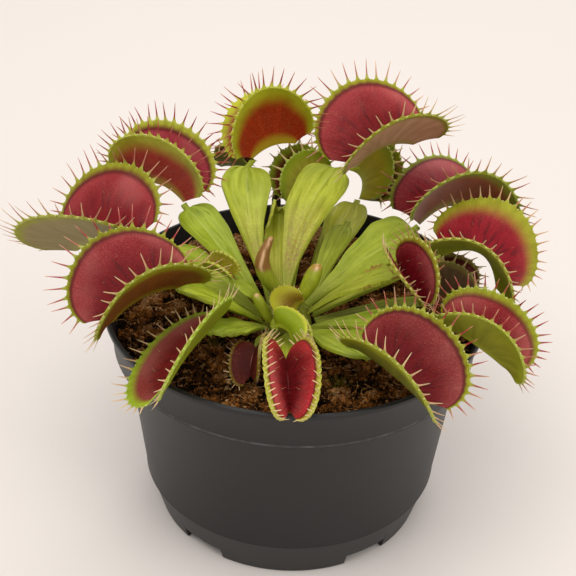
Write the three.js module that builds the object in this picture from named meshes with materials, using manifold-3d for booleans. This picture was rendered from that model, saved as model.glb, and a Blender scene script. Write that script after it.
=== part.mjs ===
import * as THREE from "three";
import { mergeVertices } from "three/addons/utils/BufferGeometryUtils.js";
import Module from "manifold-3d";

const wasm = await Module();
wasm.setup();

// Millimetres and degrees. The pot's axis is the z axis and the pot stands on z = 0.
// The plant's front faces -y.

// Pot.
const rimRadius = 60;
const potHeight = 75.6;
const rimLipHeight = 1.6;
const collarRadius = 57.1;
const collarHeight = 61.8;
const neckRadius = 53.6;
const ringRadius = 48.1;
const ringHeight = 14.2;
const footRadius = 43.9;
const wallThickness = 1.3;
const floorBottom = 3;
const floorTop = 4.4;
const padRadius = 7;
const notchCount = 5;
const notchWidth = 15;
const notchHeight = 5.2;
const notchAngle = -127;
const roundSegments = 54;

// Soil.
const soilLevel = 67;
const soilGap = 0.35;
const soilRings = 13;
const clumpCount = 110;
const clumpRadius = [3.2, 7.5];
const clumpRise = [0.7, 2.1];

// Crown, the short stem that every leaf grows from.
const crownCentre = new THREE.Vector3(-2, -3.5, 0);
const crownFoot = 60.6;
const crownRadius = 7.7;
const crownHoleRadius = 8.15;
const crownHoleFloor = 60.2;
const tiers = {
  low: { radius: 8.4, height: 69.5 },
  mid: { radius: 6.4, height: 73 },
  top: { radius: 4.4, height: 76 },
};

// Blades.
const bladeThickness = 0.7;
// Rows and columns of a wide, a middling and a narrow blade, from the width at which each starts.
const bladeGrains = [
  { width: 12.5, rows: 8, columns: 4 },
  { width: 7, rows: 6, columns: 4 },
  { width: 0, rows: 6, columns: 2 },
];
const bladeFootWidth = 2.2;
const neckWidth = 2;
const neckLength = 2.2;
const neckDrop = 0.95;
const neckGap = 0.3;

// Traps.
const trapThickness = 0.7;
const hingeShare = 0.56;
const lobeSweep = 112;
const lobeCentreShare = 0.36;
const lobeRows = [0.35, 0.7];
const toothWidth = 1.25;
const toothCount = 18;
const toothShare = 0.3;
const longestTooth = 7.4;
const toothLean = 16;
const toothLeanSpread = 9;
const toothClearance = 1.3;
const toothSpacing = 0.9;

// Each leaf: where its blade leaves the crown and how it runs, then the trap's hinge foot,
// the way it points, how far each lobe stands open, and its size.
const leaves = [
  {
    name: "leaf_01",
    blade: {
      turn: 143,
      tier: "mid",
      width: 16,
      taper: 2.4,
      lift: 0.06,
      cup: 0.25,
      end: [-17.5, 37, 101.5],
      bow: [-4, 0, 0],
    },
    trap: { foot: [-16, 39, 104], heading: 19, pitch: 14, roll: 11, left: 67, right: 31 },
    lobe: { length: 27.5, height: 26, arch: 2, droop: 4, bulge: 0.8 },
  },
  {
    name: "leaf_02",
    blade: {
      turn: 100,
      tier: "mid",
      width: 18.5,
      lift: 0.1,
      cup: 0.2,
      end: [11.5, 40, 100.5],
      bow: [-9, 0, 0],
    },
    trap: { foot: [18.5, 38.5, 103], heading: 23, pitch: 13, roll: -6, left: 67, right: 40 },
    lobe: { length: 37, height: 26.5, arch: 3.5, droop: 4, bulge: 0 },
  },
  {
    name: "leaf_03",
    blade: { turn: 150, tier: "low", width: 13.5, lift: 0.1, cup: 0.3, twist: 10 },
    trap: { foot: [-37.5, 27.5, 93], heading: 160, pitch: 7, roll: -6, left: 23, right: 18 },
    lobe: { length: 33.5, height: 20.5, arch: 3.5, droop: 2, bulge: 0.3 },
  },
  {
    name: "leaf_04",
    blade: {
      turn: 173,
      tier: "low",
      width: 18,
      lift: 0.06,
      cup: 0.15,
      end: [-41, 7.5, 84],
      twist: 10,
      widest: 0.75,
    },
    trap: { foot: [-52, 7, 89], heading: 157, pitch: -22, roll: 41, left: 6, right: 90 },
    lobe: { length: 40, height: 27.5, arch: 3.5, droop: 1.5, bulge: -0.2 },
  },
  {
    name: "leaf_05",
    blade: { turn: 197, tier: "low", width: 14, lift: 0.08, cup: 0.2, widest: 0.75 },
    trap: { foot: [-35, -23, 92.5], heading: 211, pitch: -15, roll: -10, left: 53, right: 58 },
    lobe: { length: 37.5, height: 24.5, arch: 2.5, droop: 6, bulge: -0.4 },
  },
  {
    name: "leaf_06",
    blade: {
      turn: 218,
      tier: "low",
      width: 11,
      lift: 0.08,
      cup: 0.15,
      end: [-24.5, -27.5, 80],
      widest: 0.6,
    },
    trap: { foot: [-25, -35, 85.5], heading: 243, pitch: -14, roll: -23, left: 49, right: 88 },
    lobe: { length: 39, height: 16, arch: 1, droop: 1.5, bulge: 0 },
  },
  {
    name: "leaf_07",
    blade: { turn: 245, tier: "low", width: 6, lift: 0.1, cup: 0.2, widest: 0.6 },
    trap: { foot: [-11, -27.5, 74], heading: 265, pitch: -4, roll: -21, left: 45, right: 64 },
    lobe: { length: 20, height: 7, arch: 1, droop: 2, bulge: -0.2, teeth: 12 },
  },
  {
    name: "leaf_08",
    blade: { turn: 272, tier: "low", width: 10, lift: 0.06, cup: 0.2, widest: 0.65 },
    trap: { foot: [-2, -43, 81], heading: -85, pitch: -12, roll: 5, left: 42, right: 42 },
    lobe: { length: 28.5, height: 12, arch: 0.5, droop: 1.5, bulge: 0.4 },
  },
  {
    name: "leaf_09",
    blade: { turn: 303, tier: "low", width: 15, lift: 0.12, cup: 0.2, widest: 0.66 },
    trap: { foot: [22, -42, 84], heading: -38, pitch: -19, roll: 2, left: 43, right: 41 },
    lobe: { length: 35, height: 20, arch: 0.5, droop: 4, bulge: -0.8 },
  },
  {
    name: "leaf_10",
    blade: { turn: 351, tier: "mid", width: 9, lift: 0.15, cup: 0.35, widest: 0.74, twist: -15 },
    trap: { foot: [31, -11, 93], heading: -60, pitch: -19, roll: -15, left: 24, right: 22 },
    lobe: { length: 22, height: 15, arch: 2, droop: -1, bulge: 0, teeth: 15 },
  },
  {
    name: "leaf_11",
    blade: { turn: 29, tier: "mid", width: 18, lift: 0.08, cup: 0.2, widest: 0.76, twist: -18 },
    trap: { foot: [39.5, 27.5, 88], heading: 4, pitch: -14, roll: 9, left: 78, right: 52 },
    lobe: { length: 34.5, height: 28, arch: 9, droop: 6.5, bulge: 0.8, teeth: 21 },
  },
  {
    name: "leaf_12",
    blade: { turn: 20, tier: "low", width: 9, lift: 0.03, cup: 0.3, widest: 0.6 },
    trap: { foot: [44.5, -2, 94.5], heading: -23, pitch: -21, roll: 12, left: 58, right: 70 },
    lobe: { length: 34.5, height: 20, arch: 7, droop: 8.5, bulge: -0.8, teeth: 21 },
  },
  {
    name: "leaf_13",
    blade: { turn: 331, tier: "low", width: 12, lift: 0.1, cup: 0.2, widest: 0.5, twist: -10 },
    trap: { foot: [46, -32, 87.5], heading: -23, pitch: -26, roll: 0, left: 41, right: 30 },
    lobe: { length: 31, height: 16, arch: 0.5, droop: 5, bulge: -0.4 },
  },
  {
    name: "leaf_14",
    blade: { turn: 358, tier: "low", width: 6, lift: 0.02, cup: 0.3, widest: 0.7 },
    trap: { foot: [44, 8.5, 71.5], heading: -14, pitch: 12, roll: -9, left: 8, right: 11 },
    lobe: { length: 20.5, height: 15, arch: 2.5, droop: 2, bulge: -1.1, teeth: 12 },
  },
  {
    name: "leaf_15",
    blade: { turn: 92, tier: "low", width: 6, lift: 0.05, cup: 0.3, widest: 0.7 },
    trap: { foot: [-0.5, 46.5, 84], heading: 34, pitch: 25, roll: 20, left: 11, right: 24 },
    lobe: { length: 20.5, height: 15, arch: 2.5, droop: 2, bulge: -0.8, teeth: 12 },
  },
  {
    name: "leaf_16",
    blade: { turn: 67, tier: "low", width: 13, lift: 0, cup: 0.3, widest: 0.8 },
    trap: { foot: [21, 54.5, 81.5], heading: 115, pitch: 28, roll: -40, left: 14, right: 10 },
    lobe: { length: 23.5, height: 15.5, arch: 4, droop: 1, bulge: -1.1, teeth: 12 },
  },
  {
    name: "leaf_17",
    blade: { turn: 131, tier: "low", width: 5, lift: 0.03, cup: 0.3, widest: 0.7 },
    trap: { foot: [-19.5, 52, 92], heading: 165, pitch: 5, roll: 20, left: 14, right: 14 },
    lobe: { length: 14, height: 9, arch: 1.5, droop: 1.3, bulge: -0.7, teeth: 9 },
  },
  {
    name: "leaf_18",
    blade: { turn: 186, tier: "mid", width: 6.5, lift: 0.1, cup: 0.3, widest: 0.6 },
    trap: { foot: [-20.5, -3.5, 84.5], heading: 150, pitch: 5, roll: 15, left: 28, right: 28 },
    lobe: { length: 11, height: 6, arch: 1.2, droop: 0.8, bulge: -0.8, teeth: 12 },
  },
  {
    name: "leaf_19",
    blade: {
      turn: 280,
      tier: "top",
      width: 3.2,
      lift: -0.05,
      cup: 0.2,
      end: [1.2, -11, 74.6],
      widest: 0.5,
    },
    trap: { foot: [0, -13, 77.2], heading: 50, pitch: 45, roll: 65, left: 12, right: 12 },
    lobe: { length: 9.5, height: 8.5, arch: 1, droop: 2.6, bulge: -2.2, teeth: 12, tooth: 1 },
  },
  {
    name: "leaf_20",
    blade: { turn: 240, tier: "mid", width: 3.2, lift: 0.05, cup: 0.2, widest: 0.5 },
    trap: { foot: [-5.2, -24.6, 81.3], heading: -50, pitch: -12, roll: 50, left: 14, right: 14 },
    lobe: { length: 14, height: 6, arch: 1.5, droop: 2, bulge: -1.8, teeth: 12, tooth: 1 },
  },
];

// Leaves that have no trap yet.
const bareLeaves = [
  {
    name: "leaf_21",
    blade: { turn: 48, tier: "low", width: 8.5, lift: 0.12, cup: 0.3, widest: 0.75 },
    tip: [16.5, 34, 84],
  },
  {
    name: "young_leaf",
    blade: { turn: 111, tier: "low", width: 9, lift: 0.05, cup: 0.7, widest: 0.82 },
    tip: [-6.8, 38, 86],
  },
];

// Buds: the points of the middle line, with the radius at each.
const buds = [
  {
    name: "bud_1",
    line: [[-5.6, 0.6, 77], [-9, -0.8, 82.5], [-11.2, -1.4, 88.5], [-10, -1.1, 93.5], [-7.9, -0.5, 98]],
    radii: [1.5, 2.3, 2.3, 2, 0.8],
  },
  {
    name: "bud_2",
    line: [[2, -4.3, 77.8], [2.9, -3.8, 79.8], [4.4, -2.4, 83], [5.6, -1.2, 86], [6.5, -0.4, 88.4]],
    radii: [1.2, 2.2, 2.6, 2.4, 1],
  },
  {
    name: "bud_3",
    line: [[-7.2, -10, 72.3], [-8.7, -9.8, 74.5], [-10.2, -9.4, 77.3], [-11.4, -9.1, 80], [-12, -8.9, 82.3]],
    radii: [0.9, 1.6, 2, 1.9, 0.8],
  },
];

// The dead leaf stands in its own hole near the far rim.
const deadLeaf = {
  name: "dead_leaf",
  line: [
    [-6.5, 48.5, 61],
    [-6.5, 48.5, 67],
    [-7.2, 50, 73.5],
    [-7.8, 51, 78.5],
    [-8.1, 51.6, 83],
    [-8.1, 51.8, 85.8],
  ],
  radii: [1.2, 1.3, 1.4, 1.7, 1.6, 0.7],
  holeRadius: 1.75,
  holeFloor: 60.5,
};

const radians = THREE.MathUtils.degToRad;
const vector = (values) => new THREE.Vector3(values[0], values[1], values[2]);

// A generator of even numbers from 0 to 1, the same on every run.
function makeRandom(seed) {
  let state = seed;
  return () => {
    state = (state * 1664525 + 1013904223) % 4294967296;
    return state / 4294967296;
  };
}

// A geometry from points and triangles that index them.
function geometryOf(points, triangles) {
  const geometry = new THREE.BufferGeometry();
  const coordinates = points.flatMap((point) => point.toArray());
  geometry.setAttribute("position", new THREE.Float32BufferAttribute(coordinates, 3));
  geometry.setIndex(triangles.flat());
  return geometry;
}

function solidOf(geometry) {
  return new wasm.Manifold(
    new wasm.Mesh({
      numProp: 3,
      vertProperties: new Float32Array(geometry.getAttribute("position").array),
      triVerts: new Uint32Array(geometry.index.array),
    }),
  );
}

function geometryFrom(solid) {
  const mesh = solid.getMesh();
  const geometry = new THREE.BufferGeometry();
  const positions = new Float32Array(mesh.numVert * 3);
  for (let i = 0; i < mesh.numVert; i++) {
    const start = i * mesh.numProp;
    positions.set(mesh.vertProperties.subarray(start, start + 3), i * 3);
  }
  geometry.setAttribute("position", new THREE.BufferAttribute(positions, 3));
  geometry.setIndex(new THREE.BufferAttribute(mesh.triVerts, 1));
  return geometry;
}

const group = new THREE.Group();

function addMesh(name, geometry, colour, roughness) {
  const material = new THREE.MeshStandardMaterial({ color: colour, roughness });
  material.name = name;
  const mesh = new THREE.Mesh(geometry, material);
  mesh.name = name;
  group.add(mesh);
}

// A body turned about the z axis from a profile of [radius, height] pairs, whose first and
// last points lie on the axis. The profile runs with the material on its left.
function revolve(profile, segments, centre) {
  const points = [];
  const rings = profile.map(([radius, height]) => {
    if (radius === 0) {
      points.push(new THREE.Vector3(centre.x, centre.y, height));
      return Array(segments).fill(points.length - 1);
    }
    return Array.from({ length: segments }, (_, i) => {
      const turn = (2 * Math.PI * i) / segments;
      points.push(
        new THREE.Vector3(centre.x + radius * Math.cos(turn), centre.y + radius * Math.sin(turn), height),
      );
      return points.length - 1;
    });
  });
  const triangles = [];
  for (let k = 0; k + 1 < rings.length; k++) {
    for (let i = 0; i < segments; i++) {
      const j = (i + 1) % segments;
      const [a, b, c, d] = [rings[k][i], rings[k][j], rings[k + 1][j], rings[k + 1][i]];
      if (a !== b) triangles.push([a, b, c]);
      if (c !== d) triangles.push([a, c, d]);
    }
  }
  return geometryOf(points, triangles);
}

// A closed tube with round ends along a line of points.
function tube(line, radii, sides) {
  const centres = line.map(vector);
  const points = [];
  const triangles = [];
  const rings = centres.map((centre, k) => {
    const before = centres[Math.max(k - 1, 0)];
    const after = centres[Math.min(k + 1, centres.length - 1)];
    const along = after.clone().sub(before).normalize();
    const side = new THREE.Vector3(0, 1, 0).cross(along).normalize();
    const front = along.clone().cross(side);
    return Array.from({ length: sides }, (_, i) => {
      const turn = (2 * Math.PI * i) / sides;
      const out = side.clone().multiplyScalar(Math.cos(turn)).addScaledVector(front, Math.sin(turn));
      points.push(centre.clone().addScaledVector(out, radii[k]));
      return points.length - 1;
    });
  });
  const last = rings.length - 1;
  points.push(centres[0].clone(), centres[last].clone());
  const foot = points.length - 2;
  const head = points.length - 1;
  for (let i = 0; i < sides; i++) {
    const j = (i + 1) % sides;
    triangles.push([foot, rings[0][j], rings[0][i]], [head, rings[last][i], rings[last][j]]);
    for (let k = 0; k < last; k++) {
      triangles.push(
        [rings[k][i], rings[k][j], rings[k + 1][j]],
        [rings[k][i], rings[k + 1][j], rings[k + 1][i]],
      );
    }
  }
  return geometryOf(points, triangles);
}

// A closed sheet of even thickness on both sides of a grid of points. Every cell is split
// the same way on both faces.
function sheet(grid, thickness) {
  const rows = grid.length;
  const columns = grid[0].length;
  const upper = [];
  const lower = [];
  grid.forEach((row, r) => {
    row.forEach((point, c) => {
      const along = grid[Math.min(r + 1, rows - 1)][c].clone().sub(grid[Math.max(r - 1, 0)][c]);
      const across = row[Math.min(c + 1, columns - 1)].clone().sub(row[Math.max(c - 1, 0)]);
      const normal = across.cross(along).normalize();
      upper.push(point.clone().addScaledVector(normal, thickness / 2));
      lower.push(point.clone().addScaledVector(normal, -thickness / 2));
    });
  });
  const count = upper.length;
  const at = (r, c) => r * columns + c;
  const triangles = [];
  for (let r = 0; r + 1 < rows; r++) {
    for (let c = 0; c + 1 < columns; c++) {
      const [a, b, d, e] = [at(r, c), at(r, c + 1), at(r + 1, c + 1), at(r + 1, c)];
      triangles.push([a, b, d], [a, d, e]);
      triangles.push([count + b, count + a, count + d], [count + d, count + a, count + e]);
    }
  }
  const wall = (a, b) => triangles.push([b, a, count + a], [b, count + a, count + b]);
  for (let c = 0; c + 1 < columns; c++) {
    wall(at(0, c), at(0, c + 1));
    wall(at(rows - 1, c + 1), at(rows - 1, c));
  }
  for (let r = 0; r + 1 < rows; r++) {
    wall(at(r, columns - 1), at(r + 1, columns - 1));
    wall(at(r + 1, 0), at(r, 0));
  }
  return geometryOf([...upper, ...lower], triangles);
}

// The middle surface of a blade, from the crown to the trap's foot or the leaf's tip.
function bladeGrid(blade, tip) {
  const turn = radians(blade.turn);
  const tier = tiers[blade.tier];
  const start = new THREE.Vector3(
    crownCentre.x + tier.radius * Math.cos(turn),
    crownCentre.y + tier.radius * Math.sin(turn),
    tier.height,
  );
  const reach = tip.clone().sub(start).normalize();
  const end = blade.end ? vector(blade.end) : tip.clone().addScaledVector(reach, -neckLength);
  const middle = start.clone().add(end).multiplyScalar(0.5);
  middle.z += blade.lift * end.distanceTo(start);
  if (blade.bow) middle.add(vector(blade.bow));
  const widest = blade.widest ?? 0.82;
  const { rows, columns } = bladeGrains.find((grain) => blade.width >= grain.width);
  const grid = [];
  let side;
  for (let r = 0; r <= rows; r++) {
    const t = 1 - (1 - r / rows) ** 1.25;
    const centre = start.clone().multiplyScalar((1 - t) ** 2);
    centre.addScaledVector(middle, 2 * t * (1 - t)).addScaledVector(end, t * t);
    const along = middle.clone().sub(start).multiplyScalar(1 - t);
    along.addScaledVector(end.clone().sub(middle), t).normalize();
    const level = along.clone().cross(new THREE.Vector3(0, 0, 1)).normalize();
    const above = level.clone().cross(along);
    const twist = radians((blade.twist ?? 0) * t);
    side = level.clone().multiplyScalar(Math.cos(twist)).addScaledVector(above, Math.sin(twist));
    const up = above.clone().multiplyScalar(Math.cos(twist)).addScaledVector(level, -Math.sin(twist));
    const half = bladeWidth(t, blade.width, widest, blade.taper ?? 1.6) / 2;
    const row = [];
    for (let c = 0; c <= columns; c++) {
      const v = (2 * c) / columns - 1;
      const rise = blade.cup * half * v * v;
      row.push(centre.clone().addScaledVector(side, half * v).addScaledVector(up, rise));
    }
    grid.push(row);
  }
  const neck = tip.clone().sub(end);
  neck.setLength(neck.length() - neckGap);
  for (const share of [0.5, 1]) {
    const centre = end.clone().addScaledVector(neck, share);
    const row = [];
    for (let c = 0; c <= columns; c++) {
      row.push(centre.clone().addScaledVector(side, (neckWidth / 2) * ((2 * c) / columns - 1)));
    }
    grid.push(row);
  }
  return grid;
}

function bladeWidth(t, width, widest, taper) {
  if (t < widest) {
    const k = (t / widest) ** taper;
    return bladeFootWidth + ((width - bladeFootWidth) * k * (3 - k)) / 2;
  }
  const k = (t - widest) / (1 - widest);
  return neckWidth + (width - neckWidth) * Math.sqrt(1 - k ** 2.6);
}

// The three directions of a trap: along its hinge, to its left, and out of its mouth.
function trapFrame(trap) {
  const heading = radians(trap.heading);
  const pitch = radians(trap.pitch);
  const roll = radians(trap.roll);
  const along = new THREE.Vector3(
    Math.cos(pitch) * Math.cos(heading),
    Math.cos(pitch) * Math.sin(heading),
    Math.sin(pitch),
  );
  const level = new THREE.Vector3(-Math.sin(heading), Math.cos(heading), 0);
  const above = along.clone().cross(level);
  const out = above.clone().multiplyScalar(Math.cos(roll)).addScaledVector(level, Math.sin(roll));
  const left = level.clone().multiplyScalar(Math.cos(roll)).addScaledVector(above, -Math.sin(roll));
  return { along, left, out };
}

// A point of a lobe's middle surface. side is 1 for the left lobe and -1 for the right one,
// u runs from -1 to 1 along the hinge and v from 0 at the hinge to 1 at the margin.
function lobePoint(leaf, frame, side, u, v) {
  const { length, height, arch, droop, bulge } = leaf.lobe;
  const open = radians(side > 0 ? leaf.trap.left : leaf.trap.right);
  const hinge = hingeShare * length;
  const centre = lobeCentreShare * height;
  const sweep = radians(lobeSweep) * u;
  const hingeX = (hinge / 2) * u;
  const hingeZ = -arch * u * u;
  const x = hingeX + ((length / 2) * Math.sin(sweep) - hingeX) * v;
  const rise = (centre + (height - centre) * Math.cos(sweep) - hingeZ) * v;
  const swell = bulge * 4 * v * (1 - v) * (1 - u ** 4);
  const curl = droop * ((2 * x / length) ** 2 - 0.3) * (1.4 * v - 0.4 * v * v) - swell;
  const y = side * (rise * Math.sin(open) + curl * Math.cos(open));
  const z = hingeZ + rise * Math.cos(open) - curl * Math.sin(open);
  return vector(leaf.trap.foot)
    .addScaledVector(frame.along, x + hinge / 2)
    .addScaledVector(frame.left, y)
    .addScaledVector(frame.out, z + arch);
}

// The directions at a point of a lobe: along the margin, outwards, and to the inner face.
function lobeDirections(leaf, frame, side, u, v) {
  const step = 0.01;
  const along = lobePoint(leaf, frame, side, u + step, v).sub(lobePoint(leaf, frame, side, u - step, v));
  const outwards = lobePoint(leaf, frame, side, u, v + step).sub(lobePoint(leaf, frame, side, u, v - step));
  const inner = along.clone().cross(outwards).multiplyScalar(side).normalize();
  along.normalize();
  outwards.addScaledVector(along, -outwards.dot(along)).normalize();
  return { along, outwards, inner };
}

// Where a lobe's margin is divided: a tooth stands on every second stretch. The right lobe
// starts with a tooth and the left one with a gap, so that the two rows pass between each other.
function marginStops(leaf, side) {
  const teeth = leaf.lobe.teeth ?? toothCount;
  const around = Math.PI * (leaf.lobe.length / 2 + leaf.lobe.height) * 0.55;
  const tooth = Math.min((2 * toothWidth) / around, 0.6 / teeth);
  const gap = 2 / teeth - tooth;
  const stops = [-1];
  for (let i = 0; i < teeth; i++) {
    const first = side > 0 ? gap : tooth;
    stops.push(stops[2 * i] + first, -1 + (2 * (i + 1)) / teeth);
  }
  return stops;
}

// Every surface and tooth that the teeth must stay clear of.
const surfacePoints = [];
const placedTeeth = [];

function addSurfacePoints(owner, points, radius = 0) {
  surfacePoints.push(...points.map((point) => ({ owner, point, radius })));
}

function sampleBlade(owner, grid) {
  const points = [];
  for (let r = 0; r + 1 < grid.length; r++) {
    for (let c = 0; c + 1 < grid[0].length; c++) {
      for (const s of [0, 0.25, 0.5, 0.75]) {
        for (const t of [0, 0.33, 0.67, 1]) {
          const near = grid[r][c].clone().lerp(grid[r + 1][c], s);
          points.push(near.lerp(grid[r][c + 1].clone().lerp(grid[r + 1][c + 1], s), t));
        }
      }
    }
  }
  addSurfacePoints(owner, points);
}

function sampleTrap(leaf) {
  const frame = trapFrame(leaf.trap);
  for (const side of [1, -1]) {
    const points = [];
    for (let i = 0; i <= 24; i++) {
      for (let j = 0; j <= 14; j++) {
        points.push(lobePoint(leaf, frame, side, i / 12 - 1, j / 14));
      }
    }
    addSurfacePoints(leaf.name + (side > 0 ? " left" : " right"), points);
  }
}

function sampleTube(bud) {
  for (let k = 0; k + 1 < bud.line.length; k++) {
    for (const share of [0, 0.25, 0.5, 0.75, 1]) {
      const point = vector(bud.line[k]).lerp(vector(bud.line[k + 1]), share);
      addSurfacePoints(bud.name, [point], THREE.MathUtils.lerp(bud.radii[k], bud.radii[k + 1], share));
    }
  }
}

function distanceToPoint(line, point) {
  return line.closestPointToPoint(point, true, new THREE.Vector3()).distanceTo(point);
}

function distanceBetween(line, other) {
  let nearest = Infinity;
  for (let i = 0; i <= 8; i++) {
    nearest = Math.min(nearest, distanceToPoint(other, line.at(i / 8, new THREE.Vector3())));
  }
  return nearest;
}

function toothIsClear(owner, line) {
  const { end } = line;
  const overPot = Math.hypot(end.x, end.y) > rimRadius - 4;
  if (end.z < potHeight + 1 && overPot && Math.hypot(end.x, end.y) < rimRadius + 1) return false;
  if (end.z < soilLevel + 3.5 && !overPot) return false;
  const reach = line.distance() + toothClearance;
  for (const { owner: other, point, radius } of surfacePoints) {
    if (other === owner || point.distanceTo(line.start) > reach + radius) continue;
    if (distanceToPoint(line, point) < toothClearance + radius) return false;
  }
  return placedTeeth.every(
    (other) => other.start.distanceTo(line.start) > 20 || distanceBetween(line, other) > toothSpacing,
  );
}

// The apex of a tooth: it leans as far, and is as long, as its neighbours leave room for.
function placeTooth(leaf, frame, side, u, random) {
  const foot = lobePoint(leaf, frame, side, u, 1);
  const { along, outwards, inner } = lobeDirections(leaf, frame, side, u, 1);
  const taper = 1 - 0.45 * Math.abs(u) ** 3;
  const longest = Math.min(leaf.lobe.tooth ?? toothShare * leaf.lobe.height, longestTooth);
  const full = longest * taper * (0.9 + 0.2 * random());
  const lean = toothLean + toothLeanSpread * (2 * random() - 1);
  const sway = 0.16 * (2 * random() - 1);
  const owner = leaf.name + (side > 0 ? " left" : " right");
  const directionAt = (angle) =>
    outwards
      .clone()
      .multiplyScalar(Math.cos(radians(angle)))
      .addScaledVector(inner, Math.sin(radians(angle)))
      .addScaledVector(along, sway)
      .normalize();
  for (const share of [1, 0.8, 0.6, 0.42, 0.28]) {
    for (const bend of [0, 18, -18, 36, -36]) {
      const direction = directionAt(lean + bend);
      const apex = foot.clone().addScaledVector(direction, full * share);
      const start = foot.clone().addScaledVector(direction, Math.min(0.3 * full * share, 1.2));
      const line = new THREE.Line3(start, apex);
      if (toothIsClear(owner, line)) {
        placedTeeth.push(line);
        return apex;
      }
    }
  }
  return foot.clone().addScaledVector(directionAt(lean), 0.16 * full);
}

// One trap: two lobes on their hinge as one sheet, with a row of teeth on each margin.
function trapGeometry(leaf, random) {
  const frame = trapFrame(leaf.trap);
  const teeth = leaf.lobe.teeth ?? toothCount;
  const columns = (2 * teeth) / 3;
  const points = [];
  const triangles = [];
  const addPair = (middle, normal) => {
    points.push(middle.clone().addScaledVector(normal, trapThickness / 2));
    points.push(middle.clone().addScaledVector(normal, -trapThickness / 2));
    return points.length - 2;
  };
  const hinge = [];
  for (let c = 0; c <= columns; c++) {
    const u = (2 * c) / columns - 1;
    const middle = lobePoint(leaf, frame, 1, u, 0);
    const along = lobePoint(leaf, frame, 1, u + 0.01, 0).sub(lobePoint(leaf, frame, 1, u - 0.01, 0));
    hinge.push(addPair(middle, frame.left.clone().cross(along).negate().normalize()));
  }
  for (const side of [1, -1]) {
    // Corners in this order face inwards on the inner face of this lobe.
    const face = (a, b, c) => {
      const turned = side > 0 ? [a, b, c] : [a, c, b];
      triangles.push(turned, [turned[0] + 1, turned[2] + 1, turned[1] + 1]);
    };
    const wall = (a, b) => {
      const [from, to] = side > 0 ? [a, b] : [b, a];
      triangles.push([from, from + 1, to + 1], [from, to + 1, to]);
    };
    const rows = [hinge];
    for (const v of lobeRows) {
      const row = [];
      for (let c = 0; c <= columns; c++) {
        const u = (2 * c) / columns - 1;
        const { inner } = lobeDirections(leaf, frame, side, u, v);
        row.push(addPair(lobePoint(leaf, frame, side, u, v), inner));
      }
      rows.push(row);
    }
    const stops = marginStops(leaf, side);
    const margin = stops.map((u) =>
      addPair(lobePoint(leaf, frame, side, u, 1), lobeDirections(leaf, frame, side, u, 1).inner),
    );
    for (let r = 0; r + 1 < rows.length; r++) {
      for (let c = 0; c < columns; c++) {
        face(rows[r][c], rows[r][c + 1], rows[r + 1][c + 1]);
        face(rows[r][c], rows[r + 1][c + 1], rows[r + 1][c]);
      }
      wall(rows[r + 1][0], rows[r][0]);
      wall(rows[r][columns], rows[r + 1][columns]);
    }
    const top = rows[rows.length - 1];
    for (let c = 0; c < columns; c++) {
      const at = 3 * c;
      face(top[c], margin[at + 1], margin[at]);
      face(top[c], top[c + 1], margin[at + 1]);
      face(top[c + 1], margin[at + 2], margin[at + 1]);
      face(top[c + 1], margin[at + 3], margin[at + 2]);
    }
    wall(margin[0], top[0]);
    wall(top[columns], margin[3 * columns]);
    for (let i = 0; i + 1 < margin.length; i++) {
      const hasTooth = side > 0 ? i % 2 === 1 : i % 2 === 0;
      if (!hasTooth) {
        wall(margin[i + 1], margin[i]);
        continue;
      }
      points.push(placeTooth(leaf, frame, side, (stops[i] + stops[i + 1]) / 2, random));
      const apex = points.length - 1;
      const [from, to] = side > 0 ? [margin[i + 1], margin[i]] : [margin[i], margin[i + 1]];
      triangles.push([from, from + 1, apex], [from + 1, to + 1, apex]);
      triangles.push([to + 1, to, apex], [to, from, apex]);
    }
  }
  return geometryOf(points, triangles);
}

// Pot: one wall turned about the axis, then the drain notches cut out of its foot.
const potProfile = [
  [0, 0],
  [padRadius, 0],
  [padRadius + 0.6, floorBottom],
  [footRadius - wallThickness - 0.4, floorBottom],
  [footRadius - wallThickness, 0],
  [footRadius - 0.3, 0],
  [footRadius + 0.2, 0.6],
  [ringRadius - 0.3, ringHeight - 0.4],
  [ringRadius + 0.2, ringHeight],
  [neckRadius, collarHeight - 0.3],
  [collarRadius - 0.3, collarHeight - 0.3],
  [collarRadius, collarHeight],
  [rimRadius - 0.9, potHeight - rimLipHeight - 0.5],
  [rimRadius, potHeight - rimLipHeight],
  [rimRadius, potHeight - 0.4],
  [rimRadius - 0.4, potHeight],
  [rimRadius - wallThickness + 0.2, potHeight],
  [rimRadius - wallThickness - 0.2, potHeight - 0.5],
  [collarRadius - wallThickness, collarHeight + 1.2],
  [neckRadius - wallThickness, collarHeight - 1.2],
  [ringRadius - wallThickness, ringHeight],
  [footRadius - wallThickness + 0.4, floorTop],
  [0, floorTop],
];
let pot = solidOf(revolve(potProfile, roundSegments, new THREE.Vector3()));
for (let i = 0; i < notchCount; i++) {
  const turn = radians(notchAngle + (360 * i) / notchCount);
  const notch = new THREE.BoxGeometry(12, notchWidth, notchHeight);
  notch.translate(footRadius, 0, notchHeight / 2 - 0.5);
  notch.rotateZ(turn);
  notch.deleteAttribute("normal");
  notch.deleteAttribute("uv");
  pot = pot.subtract(solidOf(mergeVertices(notch)));
}
addMesh("pot", geometryFrom(pot), 0x35322f, 0.55);

// Soil: it fills the pot, with clumps on top and a plain hole for the crown and the dead leaf.
const soilRandom = makeRandom(41);
const clumps = Array.from({ length: clumpCount }, () => {
  const turn = 2 * Math.PI * soilRandom();
  const away = 57 * Math.sqrt(soilRandom());
  return {
    x: away * Math.cos(turn),
    y: away * Math.sin(turn),
    radius: THREE.MathUtils.lerp(clumpRadius[0], clumpRadius[1], soilRandom()),
    rise: THREE.MathUtils.lerp(clumpRise[0], clumpRise[1], soilRandom()),
  };
});

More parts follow.
